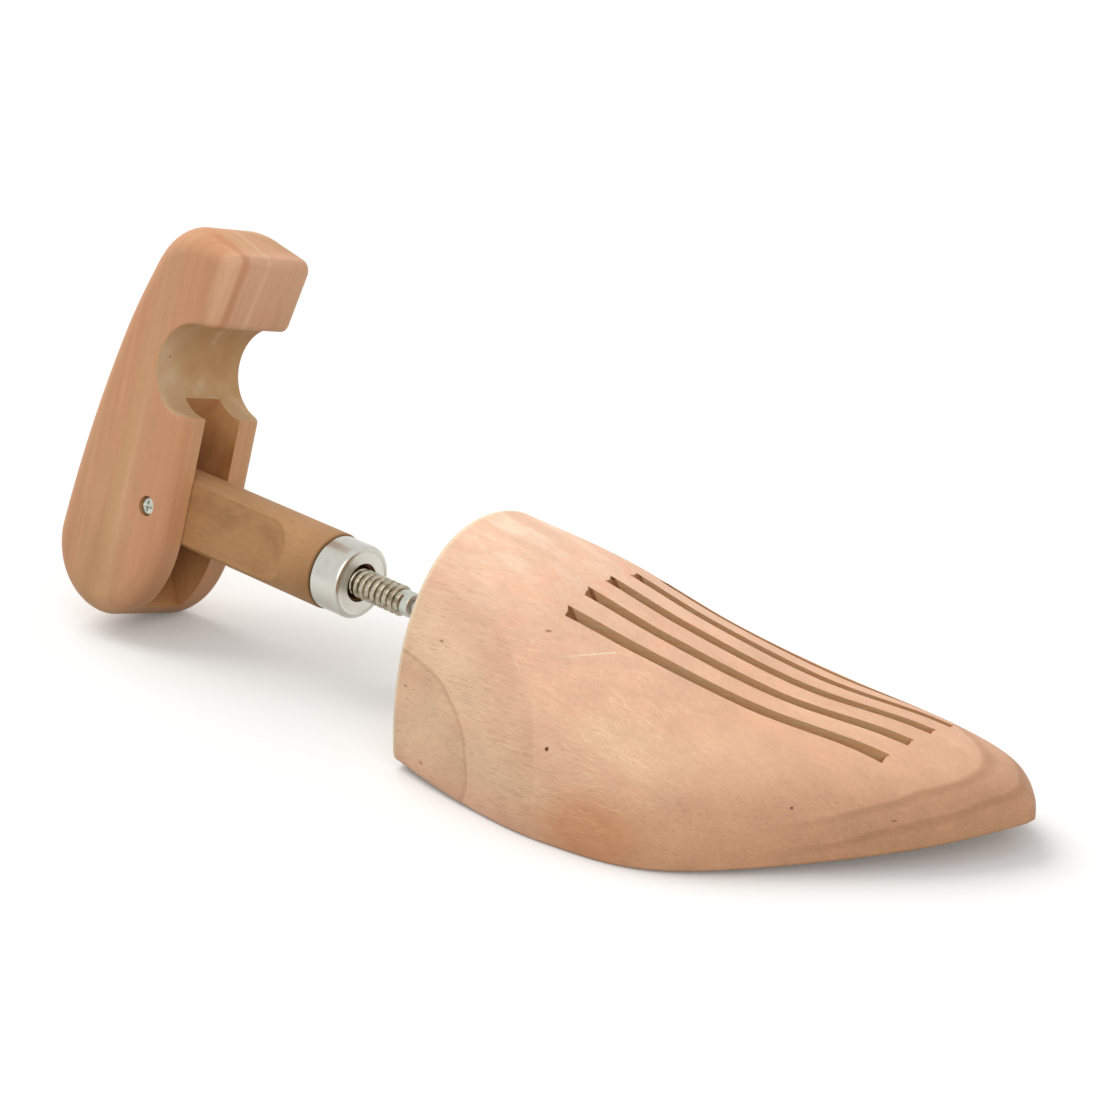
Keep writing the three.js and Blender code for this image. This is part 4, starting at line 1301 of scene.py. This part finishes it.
def coil_surface(sizes, start, end, steps=44, sides=20):
    """A wire of round section on a helix: x grows by the pitch in each turn, y and z go round the coil
    radius, so that the wire ends high on the near side. Section points are set off outwards and square to
    that and the wire."""
    first = (start + sizes.rear) / sizes.pitch
    last = (end + sizes.rear) / sizes.pitch
    turns = np.linspace(first, last, int((last - first) * steps) + 1)[:, None]
    angle = WIRE_END + 2 * np.pi * ((sizes.out + sizes.rear) / sizes.pitch - turns)
    outward = np.stack([np.zeros_like(angle), np.cos(angle), np.sin(angle)], axis=-1)
    rise = sizes.pitch / (2 * np.pi * sizes.coil)
    along = unit(np.stack([np.full_like(angle, rise), np.sin(angle), -np.cos(angle)], axis=-1))
    side = np.cross(along, outward)
    round_wire = full_turn(sides)[None, :, None]
    centre = sizes.coil * outward
    centre[..., 0] = -sizes.rear + sizes.pitch * turns
    points = centre + sizes.wire * (np.cos(round_wire) * outward + np.sin(round_wire) * side)
    caps = [points[index].mean(axis=0) + (points[index] - points[index].mean(axis=0)) * share
            for index, share in ((0, 0), (0, END_FACE), (-1, END_FACE), (-1, 0))]
    points = np.vstack([caps[:2], points, caps[2:]])
    return points, grid_faces(len(points), sides)


def stud_surface(sizes, rear_face, sides=96):
    """The stud turned round the axis: spigot inside the coil, collar with a round shoulder, neck and rod. The
    collar's rear steps back by one pitch in a turn, so that the wire sits against it all round."""
    seat = sizes.out + WIRE_GAP + CLEARANCE
    front = seat + COLLAR_LENGTH
    end = rear_face + ROD_DEPTH
    spigot = [(seat - SPIGOT_LENGTH, 0), (seat - SPIGOT_LENGTH, SPIGOT)]
    rear_round = arc(seat + STUD_ROUND, sizes.collar - STUD_ROUND, STUD_ROUND, 180, 90, 5)
    shoulder = np.vstack([[(seat, SPIGOT)], rear_round])
    profile = np.vstack([
        spigot, shoulder, arc(front - COLLAR_ROUND, sizes.collar - COLLAR_ROUND, COLLAR_ROUND, 90, 0, 10),
        [(front, sizes.rod - STUD_ROUND), (front + STUD_ROUND, sizes.rod)],
        [(rear_face, sizes.rod), (end - ROD_POINT, sizes.rod), (end, 0)]])
    points, faces = lathe(profile, sides)
    turn = full_turn(sides)
    stepped = slice(len(spigot), len(spigot) + len(shoulder))
    points[stepped, :, 0] -= sizes.pitch * ((turn - WIRE_END) / (2 * np.pi) % 1)
    return points, faces


class MakeSpring(bpy.types.Operator):
    """Makes the coil spring in two parts, one inside the bore and one shown, and the stud."""

    bl_idname = "shoe_tree.spring"
    bl_label = "Spring and stud"

    def execute(self, context):
        sizes = context.scene.shoe_tree_spring
        face = context.scene.shoe_tree_shank.pivot_back
        wire = bright_wire(sizes)
        zinc = dull_zinc(sizes)
        points, faces = coil_surface(sizes, -sizes.rear, COIL_SPLIT)
        hidden = smooth_piece("coil_in_bore", on_shank(points, face), faces, wire)
        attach(hidden, "shank")
        travel = max(abs(limit) for limit in JOINTS["spring_compression"]["range_m"])
        keep = 1 - travel / (COIL_SPLIT + sizes.rear)
        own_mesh(hidden)
        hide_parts("coil_spring")
        points, faces = coil_surface(sizes, COIL_SPLIT, sizes.out)
        shown = smooth_piece("coil_shown", on_shank(points, face), faces, wire)
        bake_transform(shown)
        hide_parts("coil_spring")
        points, faces = stud_surface(sizes, REAR_FACE - face)
        stud = smooth_piece("spring_stud_zinc", on_shank(points, face), faces, zinc)
        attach(stud, "stud")
        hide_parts("spring_stud")
        plug = frame["nodes"]["spring_plug"]
        plug.data.materials.clear()
        plug.data.materials.append(zinc)
        return {"FINISHED"}


# Studio

SENSOR = 36.0
NEAR_CLIP = 0.01
FLOOR_REACH = 6.0
FLOOR_DROP = 0.05 * MM
TOP_LIGHT = (-0.75, 0.12, 0.8)
FRONT_LIGHT = (0.8, -0.6, 0.5)


def studio_camera(sizes):
    """The camera at the photograph's angle."""
    data = bpy.data.cameras.new("studio_camera")
    data.lens = sizes.lens
    data.sensor_width = SENSOR
    data.clip_start = NEAR_CLIP
    camera = add_object("studio_camera", data)
    camera.location = sizes.spot
    camera.rotation_euler = (math.pi / 2 - sizes.elevation, 0, sizes.azimuth)
    bpy.context.scene.camera = camera


def stage_node(tree, kind, links=(), **values):
    """A node of the studio: its sockets' values by name, and links to its sockets in order."""
    node = tree.nodes.new(kind)
    for name, value in values.items():
        node.inputs[name].default_value = value
    for number, socket in enumerate(links):
        if socket:
            tree.links.new(socket, node.inputs[number])
    return node


def seen_directly(tree):
    """1 for rays from the camera or off gloss and glass, 0 for diffuse light."""
    path = tree.nodes.new("ShaderNodeLightPath")
    total = path.outputs["Is Camera Ray"]
    for name in ("Is Glossy Ray", "Is Transmission Ray"):
        both = stage_node(tree, "ShaderNodeMath", (total, path.outputs[name]))
        both.operation = "MAXIMUM"
        total = both.outputs[0]
    return total


def show(tree, diffuse, direct, end):
    """Ends a tree: one shader for diffuse light, the other where it is seen directly."""
    parts = (seen_directly(tree), diffuse.outputs[0], direct.outputs[0])
    blend = stage_node(tree, "ShaderNodeMixShader", parts)
    stage_node(tree, end, (blend.outputs[0],))


def studio_floor(sizes):
    """A pale floor that keeps soft shadows: part of what the camera sees is plain backdrop, part is lit."""
    mesh = bpy.data.meshes.new("studio_floor")
    corners = [(x * FLOOR_REACH, y * FLOOR_REACH, 0) for x, y in ((-1, -1), (1, -1), (1, 1), (-1, 1))]
    mesh.from_pydata(corners, [], [(0, 1, 2, 3)])
    floor = add_object("studio_floor", mesh)
    floor.location.z = -FLOOR_DROP
    material = bpy.data.materials.new("studio_floor")
    material.use_nodes = True
    tree = material.node_tree
    tree.nodes.clear()
    lit = stage_node(tree, "ShaderNodeBsdfDiffuse", Color=(*sizes.floor, 1))
    plain = stage_node(tree, "ShaderNodeEmission", Color=(*sizes.backdrop, 1))
    shadowed = stage_node(tree, "ShaderNodeBsdfDiffuse", Color=(*sizes.shadowed, 1))
    both = (None, shadowed.outputs[0], plain.outputs[0])
    direct = stage_node(tree, "ShaderNodeMixShader", both, Fac=sizes.plain_share)
    show(tree, lit, direct, "ShaderNodeOutputMaterial")
    mesh.materials.append(material)


def studio_world(sizes):
    """Pale all round where it is seen, and a plain soft light elsewhere."""
    world = bpy.data.worlds.new("studio_world")
    world.use_nodes = True
    tree = world.node_tree
    tree.nodes.clear()
    soft = stage_node(tree, "ShaderNodeBackground", Color=(1, 1, 1, 1), Strength=sizes.ambient)
    plain = stage_node(tree, "ShaderNodeBackground", Color=(*sizes.backdrop, 1))
    show(tree, soft, plain, "ShaderNodeOutputWorld")
    bpy.context.scene.world = world


def studio_light(name, direction, spread, power, in_metal):
    """An even light from a direction, soft as a broad panel of that spread, which metal shows or not."""
    data = bpy.data.lights.new(name, "SUN")
    data.angle = spread
    data.energy = power
    light = add_object(name, data)
    light.location = direction
    light.rotation_euler = Vector(direction).to_track_quat("Z", "Y").to_euler()
    light.visible_glossy = in_metal


class MakeStudio(bpy.types.Operator):
    """Makes the camera, the floor and the light."""

    bl_idname = "shoe_tree.studio"
    bl_label = "Studio"

    def execute(self, context):
        sizes = context.scene.shoe_tree_studio
        studio_camera(sizes)
        studio_floor(sizes)
        studio_world(sizes)
        studio_light("top_light", TOP_LIGHT, sizes.spread, sizes.top_power, False)
        studio_light("front_light", FRONT_LIGHT, sizes.spread, sizes.front_power, True)
        context.scene.view_settings.view_transform = "Standard"
        return {"FINISHED"}


class ShoeTreePanel(bpy.types.Panel):
    """Lists the shoe tree's pieces in the sidebar."""

    bl_idname = "VIEW3D_PT_shoe_tree"
    bl_label = "Shoe tree"
    bl_space_type = "VIEW_3D"
    bl_region_type = "UI"
    bl_category = "Shoe tree"

    def draw(self, context):
        for maker in MAKERS:
            self.layout.operator(maker.bl_idname)
        for name in SETTINGS:
            group = getattr(context.scene, name)
            box = self.layout.box()
            for key in group.bl_rna.properties.keys():
                if key not in ("rna_type", "name"):
                    box.prop(group, key)


MAKERS = (MakeStudio, MakeForepart, MakeHeel, MakeShank, MakeSpring)
SETTINGS = {
    "shoe_tree_forepart": ForepartSettings,
    "shoe_tree_heel": HeelSettings,
    "shoe_tree_shank": ShankSettings,
    "shoe_tree_spring": SpringSettings,
    "shoe_tree_studio": StudioSettings,
}


def register():
    """Registers the settings, the operators and the panel."""
    for name, group in SETTINGS.items():
        bpy.utils.register_class(group)
        setattr(bpy.types.Scene, name, bpy.props.PointerProperty(type=group))
    for item in (*MAKERS, ShoeTreePanel):
        bpy.utils.register_class(item)


def unregister():
    """Removes what register added."""
    for item in (ShoeTreePanel, *MAKERS):
        bpy.utils.unregister_class(item)
    for name, group in SETTINGS.items():
        delattr(bpy.types.Scene, name)
        bpy.utils.unregister_class(group)


def main():
    """Makes every piece in order."""
    register()
    bpy.ops.shoe_tree.studio()
    bpy.ops.shoe_tree.forepart()
    bpy.ops.shoe_tree.heel()
    bpy.ops.shoe_tree.shank()
    bpy.ops.shoe_tree.spring()


if __name__ == "__main__":
    main()
